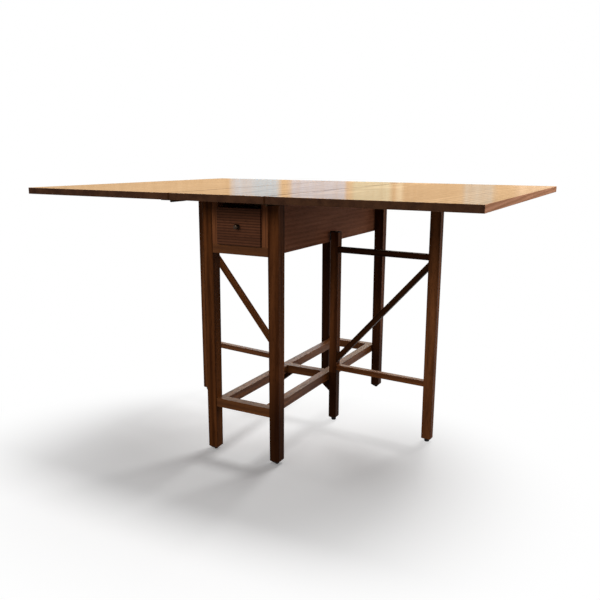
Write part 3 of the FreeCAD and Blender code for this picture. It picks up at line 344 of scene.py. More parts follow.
glide_tree, given = new_group("foot_glides", ("Sole Diameter", "Top Diameter", "Height", "Lip"))
glide_sides = 40
sole = add(glide_tree, "ShaderNodeMath", {0: given["Sole Diameter"], 1: 0.5}, operation="MULTIPLY")
head = add(glide_tree, "ShaderNodeMath", {0: given["Top Diameter"], 1: 0.5}, operation="MULTIPLY")
rim = add(glide_tree, "ShaderNodeMath", {0: sole.outputs[0], 1: given["Lip"]}, operation="SUBTRACT")
cup_height = add(glide_tree, "ShaderNodeMath", {0: given["Height"], 1: given["Lip"]}, operation="SUBTRACT")
lip = add(glide_tree, "GeometryNodeMeshCone", {
    "Vertices": glide_sides, "Radius Bottom": rim.outputs[0], "Radius Top": sole.outputs[0],
    "Depth": given["Lip"],
})
cup = add(glide_tree, "GeometryNodeMeshCone", {
    "Vertices": glide_sides, "Radius Bottom": sole.outputs[0], "Radius Top": head.outputs[0],
    "Depth": cup_height.outputs[0],
})
cup_lift = add(glide_tree, "ShaderNodeCombineXYZ", {"Z": given["Lip"]})
raised = add(glide_tree, "GeometryNodeTransform", {
    "Geometry": cup.outputs["Mesh"], "Translation": cup_lift.outputs[0],
})
both = add(glide_tree, "GeometryNodeJoinGeometry")
glide_tree.links.new(lip.outputs["Mesh"], both.inputs[0])
glide_tree.links.new(raised.outputs["Geometry"], both.inputs[0])
placed = add(glide_tree, "GeometryNodeInstanceOnPoints", {
    "Points": given["Geometry"], "Instance": both.outputs["Geometry"],
})
solid = add(glide_tree, "GeometryNodeRealizeInstances", {"Geometry": placed.outputs["Instances"]})
coloured = add(glide_tree, "GeometryNodeSetMaterial", {
    "Geometry": solid.outputs["Geometry"], "Material": given["Material"],
})
add(glide_tree, "NodeGroupOutput", {"Geometry": coloured.outputs["Geometry"]})


def grown(name, points, group, values, attributes=None):
    """Run a node group over points and keep what it makes as one plain mesh at the origin."""
    seeds = bpy.data.meshes.new(f"{name}_points")
    seeds.from_pydata(points, [], [])
    for label, (kind, rows) in (attributes or {}).items():
        layer = seeds.attributes.new(label, kind, "POINT")
        layer.data.foreach_set("vector" if kind == "FLOAT_VECTOR" else "value", rows)
    piece = bpy.data.objects.new(name, seeds)
    bpy.context.scene.collection.objects.link(piece)
    maker = piece.modifiers.new(group.name, "NODES")
    maker.node_group = group
    for item in group.interface.items_tree:
        if item.in_out == "INPUT" and item.name in values:
            maker[item.identifier] = values[item.name]
    graph = bpy.context.evaluated_depsgraph_get()
    mesh = bpy.data.meshes.new_from_object(piece.evaluated_get(graph), depsgraph=graph)
    piece.modifiers.clear()
    piece.data = mesh
    mesh.name = name
    return piece


low_glide = {
    "Sole Diameter": 0.0105, "Top Diameter": 0.012, "Height": 0.003, "Lip": 0.0005, "Material": scuffed_nylon,
}
tall_glide = {
    "Sole Diameter": 0.0145, "Top Diameter": 0.016, "Height": 0.009, "Lip": 0.0008, "Material": scuffed_nylon,
}
leg_x, leg_y = 0.102, 0.361
for name, sizes, ends in (("leg_foot_glides", low_glide, (-1, 1)), ("stub_foot_glides", tall_glide, (0,))):
    feet = [(side * leg_x, end * leg_y, 0.0) for side in (-1, 1) for end in ends]
    glide = grown(name, feet, glide_tree, sizes)
    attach(glide, "frame")
    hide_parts("leg_glides")
for side in ("left", "right"):
    low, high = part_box(f"gate_{side}_glide")
    middle = (low + high) / 2
    glide = grown(f"gate_{side}_foot_glide", [(middle.x, middle.y, 0.0)], glide_tree, tall_glide)
    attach(glide, f"{side}_gate")
    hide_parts(f"gate_{side}_glide")


# Gates
# Two swinging walnut frames: a post on the pivot, an outer leg, two rails tenoned between them and a diagonal
# brace. Post and leg have upright grain, the rails and the brace run with their own length.
warm_tones = ("#7c4a24", "#4c2912", "#1c0d05", "#8a5a35")
# These tones are painted shade: near black for the upper rails and the right brace under the leaves.
shaded_tones = ("#40230f", "#221006", "#0d0502", "#5e3a20")
gate_walnut = oiled_walnut("oiled_walnut_gate_legs", UPRIGHT, (0.31, -0.4, 0.0),
                           "#784a2a", "#482815", "#1d0e06", "#86583a")
# Each side with the angle its gate stands off the square, the lean of its brace and the tones of the brace.
for side, swung, lean, brace_tones in (
    ("right", -3.0, 42.4, shaded_tones), ("left", -6.4, -42.4, warm_tones),
):
    heading = math.radians(swung)
    lying = (0.0, math.radians(90), heading)
    leaning = (0.0, math.radians(lean), heading)
    lower = oiled_walnut(f"oiled_walnut_{side}_lower_rail", lying, (0.0, 0.07, 0.36), *warm_tones, gloss=0.08)
    upper = oiled_walnut(f"oiled_walnut_{side}_upper_rail", lying, (0.0, 0.09, 0.4), *shaded_tones)
    brace = oiled_walnut(f"oiled_walnut_{side}_brace", leaning, (0.0, 0.11, 0.3), *brace_tones)
    # The posts take the darker heart walnut, partly as painted shade under the leaves.
    finish_with(heart_walnut, f"gate_{side}_post")
    finish_with(gate_walnut, f"gate_{side}_leg")
    finish_with(upper, f"gate_{side}_upper_rail")
    finish_with(lower, f"gate_{side}_lower_rail")
    finish_with(brace, f"gate_{side}_brace")


# Gate pivots
# Zinc-plated steel pins and washers, gone dull and cloudy, with fine scratches from the gates turning on
# them, and angle brackets of blackened iron let into the aprons over the heads of the posts.
def aged_metal(name, fresh, aged, spot, polished, dull, line_gap, drawn_out, line_detail, relief, depth):
    """Metal with spots in its surface, shinier and duller from spot to spot, and fine lines in relief."""
    material, tree, surface = new_material(name)
    place = add(tree, "ShaderNodeTexCoord")
    spots = add(tree, "ShaderNodeTexNoise", {
        "Vector": place.outputs["Object"], "Scale": 1 / spot, "Detail": 5.0,
    })
    pulled = add(tree, "ShaderNodeMapping", {
        "Vector": place.outputs["Object"], "Scale": (1.0, drawn_out, 1.0),
    }, vector_type="TEXTURE")
    lines = add(tree, "ShaderNodeTexNoise", {
        "Vector": pulled.outputs["Vector"], "Scale": 1 / line_gap, "Detail": line_detail,
    })
    colour = add(tree, "ShaderNodeMix", {
        SHARE: spots.outputs["Fac"], FIRST: linear(fresh), SECOND: linear(aged),
    }, data_type="RGBA")
    tree.links.new(colour.outputs[MIXED], surface["Base Color"])
    dulling = add(tree, "ShaderNodeMapRange", {
        "Value": spots.outputs["Fac"], "To Min": polished, "To Max": dull,
    })
    tree.links.new(dulling.outputs["Result"], surface["Roughness"])
    bump = add(tree, "ShaderNodeBump", {
        "Strength": relief, "Distance": depth, "Height": lines.outputs["Fac"],
    })
    tree.links.new(bump.outputs["Normal"], surface["Normal"])
    surface["Metallic"].default_value = 1.0
    return material


# Clouds of 8 mm in the plating, scratches 0.5 mm apart.
zinc_steel = aged_metal("zinc_plated_steel", "#b9b8b2", "#7e7c76", spot=0.008, polished=0.28, dull=0.55,
                        line_gap=0.0005, drawn_out=12.0, line_detail=2.0, relief=0.12, depth=0.0001)
finish_with(zinc_steel, "gate_pivot_pins", "gate_washers", "knob_screw")
# Scale from the forge in patches of 5 mm: nearly black, dull, with brown showing where it has worn off.
blackened_iron = aged_metal("blackened_iron", "#15110e", "#2e2219", spot=0.005, polished=0.5, dull=0.75,
                            line_gap=0.005, drawn_out=1.0, line_detail=5.0, relief=0.2, depth=0.0002)
finish_with(blackened_iron, "gate_pivot_brackets")


# Top
# A fixed centre board and two leaves, 18 mm thick, faced with honey-coloured veneer laid in strips from front
# to back and varnished to a gloss. Their edges are bare of veneer: dark end grain in front and behind,
# mid-brown long grain at the sides, partly painted lighter as light that falls on them.
varnished_veneer, tree, surface = new_material("varnished_honey_veneer")
seam_x = 0.1426
# Veneer strips 128 mm wide, growth rings about 9 mm apart and streaks of 6 mm. Pores are drawn 1.1 mm wide so
# that they show. End grain is a fine speckle of cut vessels, 1.5 mm apart, mottled over 30 mm.
strip_width, ring_gap, streak_width, pore_width = 0.1283, 0.009, 0.006, 0.0011
vessel_gap, mottle_width = 0.0015, 0.03
place = add(tree, "ShaderNodeTexCoord")
axes = add(tree, "ShaderNodeSeparateXYZ", {"Vector": place.outputs["Object"]})
# Each strip is cut from another leaf of the flitch.
strip = add(tree, "ShaderNodeMath", {0: axes.outputs["X"], 1: 1 / strip_width}, operation="MULTIPLY")
strip_number = add(tree, "ShaderNodeMath", {0: strip.outputs[0]}, operation="FLOOR")
strip_tone = add(tree, "ShaderNodeTexWhiteNoise", {"W": strip_number.outputs[0]}, noise_dimensions="1D")
strip_shift = add(tree, "ShaderNodeVectorMath", {
    0: strip_tone.outputs["Color"], "Scale": 0.6,
}, operation="SCALE")
shifted = add(tree, "ShaderNodeVectorMath", {0: place.outputs["Object"], 1: strip_shift.outputs["Vector"]})
fibre = add(tree, "ShaderNodeMapping", {
    "Vector": shifted.outputs["Vector"], "Location": (0.33, 0.0, 0.4),
    "Rotation": (math.radians(-88.5), 0.0, 0.0), "Scale": (1.0, 1.0, 25.0),
}, vector_type="TEXTURE")
along = fibre.outputs["Vector"]
# Growth rings cut flat come out as broad waves.
rings = add(tree, "ShaderNodeTexWave", {
    "Vector": along, "Scale": WAVE_LENGTH / ring_gap, "Distortion": 8.0, "Detail": 3.0, "Detail Scale": 0.4,
}, wave_type="RINGS", rings_direction="Z", wave_profile="SIN")
streaks = add(tree, "ShaderNodeTexNoise", {
    "Vector": along, "Scale": 1 / streak_width, "Detail": 5.0, "Roughness": 0.6,
})
pores = add(tree, "ShaderNodeTexNoise", {"Vector": along, "Scale": 1 / pore_width, "Detail": 2.0})
pore_mask = add(tree, "ShaderNodeMapRange", {
    "Value": pores.outputs["Fac"], "From Min": 0.56, "From Max": 0.7, "To Max": 0.5,
})
ring_part = add(tree, "ShaderNodeMath", {0: rings.outputs["Fac"], 1: 0.25}, operation="MULTIPLY")
figure = add(tree, "ShaderNodeMath", {
    0: streaks.outputs["Fac"], 1: 0.75, 2: ring_part.outputs[0],
}, operation="MULTIPLY_ADD")
figure_mask = add(tree, "ShaderNodeMapRange", {
    "Value": figure.outputs[0], "From Min": 0.3, "From Max": 0.72,
})
honey = add(tree, "ShaderNodeMix", {
    SHARE: figure_mask.outputs["Result"], FIRST: linear("#cba67c"), SECOND: linear("#a98459"),
}, data_type="RGBA")
tone_share = add(tree, "ShaderNodeMath", {0: strip_tone.outputs["Value"], 1: 0.35}, operation="MULTIPLY")
toned = add(tree, "ShaderNodeMix", {
    SHARE: tone_share.outputs[0], FIRST: honey.outputs[MIXED], SECOND: linear("#a57f52"),
}, data_type="RGBA")
pored = add(tree, "ShaderNodeMix", {
    SHARE: pore_mask.outputs["Result"], FIRST: toned.outputs[MIXED], SECOND: linear("#8c6238"),
}, data_type="RGBA")
# Butt joints between the strips: a line of dark glue 0.6 mm wide.
joint_place = add(tree, "ShaderNodeMath", {0: strip.outputs[0]}, operation="FRACT")
joint = add(tree, "ShaderNodeMapRange", {
    "Value": joint_place.outputs[0], "From Min": 0.0, "From Max": 0.005, "To Min": 0.35, "To Max": 0.0,
})
jointed = add(tree, "ShaderNodeMix", {
    SHARE: joint.outputs["Result"], FIRST: pored.outputs[MIXED], SECOND: linear("#5c3a1c"),
}, data_type="RGBA")
# Along both seams a dark line, 2 mm wide on either board: partly polish and dust, partly painted shade of the
# open seam.
across = add(tree, "ShaderNodeMath", {0: axes.outputs["X"]}, operation="ABSOLUTE")
from_seam = add(tree, "ShaderNodeMath", {0: across.outputs[0], 1: seam_x}, operation="SUBTRACT")
seam_near = add(tree, "ShaderNodeMath", {0: from_seam.outputs[0]}, operation="ABSOLUTE")
seam_dust_and_shade = add(tree, "ShaderNodeMapRange", {
    "Value": seam_near.outputs[0], "From Min": 0.0022, "From Max": 0.004, "To Min": 0.85, "To Max": 0.0,
})
# Which way a face of the board looks says how it is cut.
facing = add(tree, "ShaderNodeSeparateXYZ", {"Vector": place.outputs["Normal"]})
upper = add(tree, "ShaderNodeMapRange", {"Value": facing.outputs["Z"], "From Min": 0.8, "From Max": 0.95})
end_share = add(tree, "ShaderNodeMath", {0: facing.outputs["Y"]}, operation="ABSOLUTE")
end_mask = add(tree, "ShaderNodeMapRange", {
    "Value": end_share.outputs[0], "From Min": 0.5, "From Max": 0.75,
})
speckle = add(tree, "ShaderNodeTexNoise", {
    "Vector": place.outputs["Object"], "Scale": 1 / vessel_gap, "Detail": 3.0,
})
mottle = add(tree, "ShaderNodeTexNoise", {
    "Vector": place.outputs["Object"], "Scale": 1 / mottle_width, "Detail": 3.0,
})
mottle_part = add(tree, "ShaderNodeMath", {0: mottle.outputs["Fac"], 1: 0.5}, operation="MULTIPLY")
end_mix = add(tree, "ShaderNodeMath", {
    0: speckle.outputs["Fac"], 1: 0.5, 2: mottle_part.outputs[0],
}, operation="MULTIPLY_ADD")
end_tone = add(tree, "ShaderNodeMapRange", {
    "Value": end_mix.outputs[0], "From Min": 0.35, "From Max": 0.65,
})
end_grain = add(tree, "ShaderNodeMix", {
    SHARE: end_tone.outputs["Result"], FIRST: linear("#553a29"), SECOND: linear("#33211a"),
}, data_type="RGBA")
# Long grain, partly painted lighter as light on the side edges.
side_grain_and_light = add(tree, "ShaderNodeMix", {
    SHARE: figure_mask.outputs["Result"], FIRST: linear("#c8957a"), SECOND: linear("#a4765a"),
}, data_type="RGBA")
edges = add(tree, "ShaderNodeMix", {
    SHARE: end_mask.outputs["Result"], FIRST: side_grain_and_light.outputs[MIXED], SECOND: end_grain.outputs[MIXED],
}, data_type="RGBA")
board = add(tree, "ShaderNodeMix", {
    SHARE: upper.outputs["Result"], FIRST: edges.outputs[MIXED], SECOND: jointed.outputs[MIXED],
}, data_type="RGBA")
# The seam line is partly dust and partly painted shade.
seamed = add(tree, "ShaderNodeMix", {
    SHARE: seam_dust_and_shade.outputs["Result"], FIRST: board.outputs[MIXED], SECOND: linear("#3c2412"),
}, data_type="RGBA")
tree.links.new(seamed.outputs[MIXED], surface["Base Color"])
dulling = add(tree, "ShaderNodeMapRange", {"Value": pores.outputs["Fac"], "To Min": 0.4, "To Max": 0.6})
tree.links.new(dulling.outputs["Result"], surface["Roughness"])
bump = add(tree, "ShaderNodeBump", {"Strength": 0.06, "Distance": 0.0003, "Height": streaks.outputs["Fac"]})
tree.links.new(bump.outputs["Normal"], surface["Normal"])
surface["IOR"].default_value = 1.5
surface["Specular IOR Level"].default_value = 0.0
# Varnish covers the upper side only, and the open seam breaks its gloss.
varnish = add(tree, "ShaderNodeMapRange", {
    "Value": seam_dust_and_shade.outputs["Result"], "To Min": 0.25, "To Max": 0.02,
})
glossed = add(tree, "ShaderNodeMath", {
    0: varnish.outputs["Result"], 1: upper.outputs["Result"],
}, operation="MULTIPLY")
tree.links.new(glossed.outputs[0], surface["Coat Weight"])
surface["Coat Roughness"].default_value = 0.06
finish_with(varnished_veneer, "leaf_left", "top_centre", "leaf_right")


# Leaf hinges
# Three back-flap hinges of sheet brass under each seam, with rolled knuckles on a loose pin. The brass is
# unlacquered and has browned, with tarnish in spots of 6 mm and rolling marks 0.4 mm apart.
browned_brass = aged_metal("browned_brass", "#32261a", "#15100b", spot=0.006, polished=0.25, dull=0.55,
                           line_gap=0.0004, drawn_out=30.0, line_detail=2.0, relief=0.12, depth=0.0001)
# Tarnish takes the shine off at a low angle.
browned_brass.node_tree.nodes["Principled BSDF"].inputs["Specular Tint"].default_value = linear("#5a4a38")
finish_with(browned_brass, "centre_hinge_plates", "leaf_left_hinge_plates", "leaf_right_hinge_plates",
            "hinge_pins")


# Wood screws
# Countersunk steel screws, 4 mm thick with 7.5 mm slotted heads, driven by hand so that every slot stands at
# its own angle. They hold hinges, brackets, ties and legs.
screw_tree, given = new_group("slotted_screws", (
    "Head Diameter", "Shank Diameter", "Length", "Slot Width", "Slot Depth",
))
head_sides, shank_sides, tip_share, turns_seed = 24, 16, 0.3, 7
head = add(screw_tree, "ShaderNodeMath", {0: given["Head Diameter"], 1: 0.5}, operation="MULTIPLY")
shank = add(screw_tree, "ShaderNodeMath", {0: given["Shank Diameter"], 1: 0.5}, operation="MULTIPLY")
sink = add(screw_tree, "ShaderNodeMath", {0: head.outputs[0], 1: shank.outputs[0]}, operation="SUBTRACT")
tip = add(screw_tree, "ShaderNodeMath", {0: shank.outputs[0], 1: tip_share}, operation="MULTIPLY")
stem_length = add(screw_tree, "ShaderNodeMath", {
    0: given["Length"], 1: sink.outputs[0],
}, operation="SUBTRACT")
cap = add(screw_tree, "GeometryNodeMeshCone", {
    "Vertices": head_sides, "Radius Bottom": head.outputs[0], "Radius Top": shank.outputs[0],
    "Depth": sink.outputs[0],
})
# The cutter of the slot is longer than the head is wide, and its middle lies in the face of the head.
cut_depth = add(screw_tree, "ShaderNodeMath", {0: given["Slot Depth"], 1: 2.0}, operation="MULTIPLY")
cut_size = add(screw_tree, "ShaderNodeCombineXYZ", {
    "X": given["Head Diameter"], "Y": given["Slot Width"], "Z": cut_depth.outputs[0],
})
longer = add(screw_tree, "ShaderNodeVectorMath", {
    0: cut_size.outputs[0], 1: (1.3, 1.0, 1.0),
}, operation="MULTIPLY")
cutter = add(screw_tree, "GeometryNodeMeshCube", {"Size": longer.outputs[0]})
slotted = add(screw_tree, "GeometryNodeMeshBoolean", {
    "Mesh 1": cap.outputs["Mesh"], "Mesh 2": cutter.outputs["Mesh"],
}, operation="DIFFERENCE")
stem = add(screw_tree, "GeometryNodeMeshCone", {
    "Vertices": shank_sides, "Radius Bottom": shank.outputs[0], "Radius Top": tip.outputs[0],
    "Depth": stem_length.outputs[0],
})
stem_lift = add(screw_tree, "ShaderNodeCombineXYZ", {"Z": sink.outputs[0]})
stem_placed = add(screw_tree, "GeometryNodeTransform", {
    "Geometry": stem.outputs["Mesh"], "Translation": stem_lift.outputs[0],
})
whole = add(screw_tree, "GeometryNodeJoinGeometry")
screw_tree.links.new(slotted.outputs["Mesh"], whole.inputs[0])
screw_tree.links.new(stem_placed.outputs["Geometry"], whole.inputs[0])
driven = add(screw_tree, "GeometryNodeInputNamedAttribute", {"Name": "driven"}, data_type="FLOAT_VECTOR")
aligned = add(screw_tree, "FunctionNodeAlignRotationToVector", {
    "Vector": driven.outputs["Attribute"],
}, axis="Z")
# Two sockets of a node that draws plain random numbers: the largest one to draw, and the one drawn.
LARGEST, DRAWN = 3, 1
slot_angle = add(screw_tree, "FunctionNodeRandomValue", {
    "Seed": turns_seed, LARGEST: math.pi,
}, data_type="FLOAT")
spun = add(screw_tree, "FunctionNodeAxisAngleToRotation", {
    "Axis": (0, 0, 1), "Angle": slot_angle.outputs[DRAWN],
})
turned = add(screw_tree, "FunctionNodeRotateRotation", {
    "Rotation": aligned.outputs[0], "Rotate By": spun.outputs[0],
}, rotation_space="LOCAL")
placed = add(screw_tree, "GeometryNodeInstanceOnPoints", {
    "Points": given["Geometry"], "Instance": whole.outputs["Geometry"], "Rotation": turned.outputs[0],
})
solid = add(screw_tree, "GeometryNodeRealizeInstances", {"Geometry": placed.outputs["Instances"]})
coloured = add(screw_tree, "GeometryNodeSetMaterial", {
    "Geometry": solid.outputs["Geometry"], "Material": given["Material"],
})
add(screw_tree, "NodeGroupOutput", {"Geometry": coloured.outputs["Geometry"]})

# Which way screws are driven, and where the heads stand: hinges, ties, legs and brackets.
UP, INWARD, OUTWARD = (0, 0, 1), -1, 1
BOTH = (-1, 1)
plate_level, hinge_y, hinge_step, from_hinge = 0.7166, 0.4455, 0.020, 0.019
tie_level, tie_x, tie_y = 0.7026, 0.04, 0.317
apron_inside, leg_levels = 0.068, (0.6235, 0.6836)
bracket_face, bracket_levels = 0.086, (0.5975, 0.5865)
hinge_rows = [row * hinge_y + step * hinge_step for row in (-1, 0, 1) for step in (-1, 0, 1)]
# Each row of screws with its body, length, places and the way its screws are driven.
screws = {
    "centre_hinge_screws": ("frame", 0.014, [
        (side * (seam_x - from_hinge), y, plate_level) for side in BOTH for y in hinge_rows], UP),
    "leaf_left_hinge_screws": ("left_leaf", 0.014, [
        (-seam_x - from_hinge, y, plate_level) for y in hinge_rows], UP),
    "leaf_right_hinge_screws": ("right_leaf", 0.014, [
        (seam_x + from_hinge, y, plate_level) for y in hinge_rows], UP),
    "top_screws": ("frame", 0.028, [
        (side * tie_x, end * tie_y, tie_level) for side in BOTH for end in BOTH], UP),
    "leg_screws": ("frame", 0.036, [
        (side * apron_inside, end * leg_y, level)
        for side in BOTH for end in BOTH for level in leg_levels], OUTWARD),
    "bracket_screws": ("frame", 0.014, [
        (side * bracket_face, 0.0, level) for side in BOTH for level in bracket_levels], INWARD),
}
for name, (body, length, points, way) in screws.items():
    headings = [UP if way == UP else (way * math.copysign(1, point[0]), 0, 0) for point in points]
    row = grown(f"slotted_{name}", points, screw_tree, {
        "Head Diameter": 0.0075, "Shank Diameter": 0.004, "Length": length, "Slot Width": 0.001,
        "Slot Depth": 0.0011, "Material": zinc_steel,
    }, {"driven": ("FLOAT_VECTOR", [part for heading in headings for part in heading])})
    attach(row, body)
    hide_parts(name)


# Drawer
# A front of walnut with the grain lying flat, in narrow dark and light bands, over a plain beech box: sides
# let into the front, back between them, thin bottom slid into grooves.
drawer_walnut = oiled_walnut("banded_walnut_drawer_front", ACROSS, (0.0, -0.30, 1.15),
                             "#6c4430", "#442a1e", "#1c0e0a", "#7a5038",
                             ring_gap=0.0068, waver=4.0, ring_share=0.4, dulled=0.4)
finish_with(drawer_walnut, "drawer_front")
finish_with(beech_lengthwise, "drawer_side_left", "drawer_side_right", "drawer_bottom")
finish_with(beech_across, "drawer_back")


# Knob
# A small turned bronze knob on a foot disc, 14 mm across and 15 mm long, held by a screw from inside. Hands
# have worn it brighter on the crown, and it is nearly black in the neck.
knob_foot, knob_length, steps = Vector((0.0, -0.383, 0.6495)), 0.015, 56
# Radius and distance from the drawer front, in millimetres: foot disc, neck, then the crown.
profile = (
    (5.5, 0.0), (5.5, 1.3), (5.1, 1.8), (3.9, 2.2), (3.3, 3.0), (3.1, 4.2), (3.3, 5.4), (3.9, 6.1),
    (5.3, 6.9), (6.4, 8.1), (6.95, 9.7), (6.95, 10.6), (6.5, 12.2), (5.5, 13.6), (3.9, 14.6), (2.0, 14.94),
)
turned_mesh = bmesh.new()
rings_made = []
for radius, out in profile:
    rings_made.append([turned_mesh.verts.new((
        knob_foot.x + radius / 1000 * math.cos(2 * math.pi * n / steps), knob_foot.y - out / 1000,
        knob_foot.z + radius / 1000 * math.sin(2 * math.pi * n / steps),
    )) for n in range(steps)])
for near, far in zip(rings_made, rings_made[1:]):
    for n in range(steps):
        turned_mesh.faces.new((near[n], near[(n + 1) % steps], far[(n + 1) % steps], far[n]))
crown = turned_mesh.verts.new((knob_foot.x, knob_foot.y - knob_length, knob_foot.z))
for n in range(steps):
    turned_mesh.faces.new((rings_made[-1][n], rings_made[-1][(n + 1) % steps], crown))
turned_mesh.faces.new(rings_made[0])
bmesh.ops.recalc_face_normals(turned_mesh, faces=turned_mesh.faces)
for face in turned_mesh.faces:
    face.smooth = len(face.verts) < steps
knob_shape = bpy.data.meshes.new("turned_knob")
turned_mesh.to_mesh(knob_shape)
turned_mesh.free()
knob = bpy.data.objects.new("turned_knob", knob_shape)
bpy.context.scene.collection.objects.link(knob)

dark_bronze, tree, surface = new_material("dark_bronze")
# Patina in blots of 3 mm, turning lines 0.5 mm apart, and polish from the widest part to the crown.
blot_width, line_gap, polish_starts, polish_full = 0.003, 0.0005, 0.0085, 0.0145
place = add(tree, "ShaderNodeTexCoord")
from_front = add(tree, "ShaderNodeSeparateXYZ", {"Vector": place.outputs["Object"]})
crown_share = add(tree, "ShaderNodeMapRange", {
    "Value": from_front.outputs["Y"], "From Min": knob_foot.y - polish_starts,
    "From Max": knob_foot.y - polish_full, "To Max": 0.5,
})
patina = add(tree, "ShaderNodeTexNoise", {
    "Vector": place.outputs["Object"], "Scale": 1 / blot_width, "Detail": 4.0,
})
lathe_lines = add(tree, "ShaderNodeTexWave", {
    "Vector": place.outputs["Object"], "Scale": WAVE_LENGTH / line_gap, "Distortion": 0.4,
}, wave_type="BANDS", bands_direction="Y")
polish = add(tree, "ShaderNodeMath", {
    0: crown_share.outputs["Result"], 1: patina.outputs["Fac"],
}, operation="MULTIPLY")
bronze = add(tree, "ShaderNodeMix", {
    SHARE: polish.outputs[0], FIRST: linear("#1d1612"), SECOND: linear("#5e4e40"),
}, data_type="RGBA")
tree.links.new(bronze.outputs[MIXED], surface["Base Color"])
dulling = add(tree, "ShaderNodeMapRange", {"Value": patina.outputs["Fac"], "To Min": 0.2, "To Max": 0.42})
tree.links.new(dulling.outputs["Result"], surface["Roughness"])
bump = add(tree, "ShaderNodeBump", {
    "Strength": 0.1, "Distance": 0.0001, "Height": lathe_lines.outputs["Fac"],
})
tree.links.new(bump.outputs["Normal"], surface["Normal"])
surface["Metallic"].default_value = 1.0
knob_shape.materials.append(dark_bronze)
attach(knob, "drawer")
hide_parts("knob")


# Floor and light
# A wide pale floor that fades into a white surround, a long soft lamp above and behind, smaller ones at the
# right and behind, a broad fill in front, and a low wall far behind that shows only in the varnish.
WHITE = (1.0, 1.0, 1.0, 1.0)
floor_half, floor_level = 30, -0.0005
floor_shape = bpy.data.meshes.new("floor")
floor_shape.from_pydata([
    (x * floor_half, y * floor_half, floor_level) for x, y in ((-1, -1), (1, -1), (1, 1), (-1, 1))
], [], [(0, 1, 2, 3)])
floor = bpy.data.objects.new("floor", floor_shape)
bpy.context.scene.collection.objects.link(floor)
pale_floor, tree, _ = new_material("pale_floor")
tree.nodes.remove(tree.nodes["Principled BSDF"])
place = add(tree, "ShaderNodeTexCoord")
rays = add(tree, "ShaderNodeLightPath")
matt = add(tree, "ShaderNodeBsdfDiffuse", {"Color": WHITE})
# The table itself gets little light back from the floor.
dim = add(tree, "ShaderNodeBsdfDiffuse", {"Color": (0.25, 0.25, 0.25, 1.0)})
bright = add(tree, "ShaderNodeEmission", {"Color": WHITE, "Strength": 1.0})
# A painted glow lifts the floor a little between the legs, and the floor turns to plain white over an oval
# round the shadow of the table, so no horizon shows.
oval = add(tree, "ShaderNodeMapping", {
    "Vector": place.outputs["Object"], "Location": (0.01, -0.46, 0.0),
    "Rotation": (0.0, 0.0, math.radians(20)), "Scale": (1.0, 0.73, 1.0),
}, vector_type="TEXTURE")
away = add(tree, "ShaderNodeVectorMath", {0: oval.outputs["Vector"]}, operation="LENGTH")
between = add(tree, "ShaderNodeVectorMath", {
    0: place.outputs["Object"], 1: (-0.1, 0.05, 0.0),
}, operation="DISTANCE")
lift = add(tree, "ShaderNodeMapRange", {
    "Value": between.outputs["Value"], "From Min": 0.15, "From Max": 0.6, "To Min": 0.45, "To Max": 0.08,
}, interpolation_type="SMOOTHSTEP")
glow = add(tree, "ShaderNodeEmission", {"Color": WHITE, "Strength": lift.outputs["Result"]})
lifted = add(tree, "ShaderNodeAddShader", {0: matt.outputs[0], 1: glow.outputs[0]})
fade = add(tree, "ShaderNodeMapRange", {
    "Value": away.outputs["Value"], "From Min": 0.3, "From Max": 0.95,
}, interpolation_type="SMOOTHSTEP")
faded = add(tree, "ShaderNodeMixShader", {
    0: fade.outputs["Result"], 1: lifted.outputs[0], 2: bright.outputs[0],
})
shown = add(tree, "ShaderNodeMath", {
    0: rays.outputs["Is Camera Ray"], 1: rays.outputs["Is Glossy Ray"],
}, operation="MAXIMUM")
ground = add(tree, "ShaderNodeMixShader", {0: shown.outputs[0], 1: dim.outputs[0], 2: faded.outputs[0]})
tree.links.new(ground.outputs[0], tree.nodes["Material Output"].inputs["Surface"])
floor_shape.materials.append(pale_floor)

# The surround is plain white to the eye and in gloss, and lights the table less than that.
world = bpy.data.worlds.new("white_surround")
bpy.context.scene.world = world
world.use_nodes = True
tree = world.node_tree
rays = add(tree, "ShaderNodeLightPath")
seen_or_glossy = add(tree, "ShaderNodeMath", {
    0: rays.outputs["Is Camera Ray"], 1: rays.outputs["Is Glossy Ray"],
}, operation="MAXIMUM")
shown = add(tree, "ShaderNodeMath", {
    0: seen_or_glossy.outputs[0], 1: rays.outputs["Is Transmission Ray"],
}, operation="MAXIMUM")
ambient = tree.nodes["Background"]
ambient.inputs["Color"].default_value = WHITE
ambient.inputs["Strength"].default_value = 0.3
white = add(tree, "ShaderNodeBackground", {"Color": WHITE, "Strength": 1.0})
both = add(tree, "ShaderNodeMixShader", {0: shown.outputs[0], 1: ambient.outputs[0], 2: white.outputs[0]})
tree.links.new(both.outputs[0], tree.nodes["World Output"].inputs["Surface"])

# Where the camera stands and how it is turned, since the lamp and the wall behind stand opposite to it.
eye = Vector((0.96929, -1.83723, 0.83089))
yaw, pitch, roll = math.radians(28.37), math.radians(12.20), math.radians(0.24)
ahead = Vector((-math.sin(yaw), math.cos(yaw), 0.0))

off_floor = bpy.data.collections.new("all_but_the_floor")
off_floor.objects.link(floor)
off_floor.collection_objects[0].light_linking.link_state = "EXCLUDE"


def panel(name, spot, target, width, height, power, tint, on_floor=False, mirrored=False):
    """A soft lamp that faces a target, and lights the floor or shows in gloss only where asked."""
    lamp = bpy.data.lights.new(name, "AREA")
    lamp.shape = "RECTANGLE"
    lamp.size, lamp.size_y = width, height
    lamp.energy = power
    lamp.color = linear(tint)[:3]
    holder = bpy.data.objects.new(name, lamp)
    holder.location = spot
    holder.rotation_mode = "QUATERNION"
    holder.rotation_quaternion = (Vector(target) - Vector(spot)).to_track_quat("-Z", "Y")
    holder.visible_camera, holder.visible_glossy = False, mirrored
    if not on_floor:
        holder.light_linking.receiver_collection = off_floor
    bpy.context.scene.collection.objects.link(holder)
    return holder


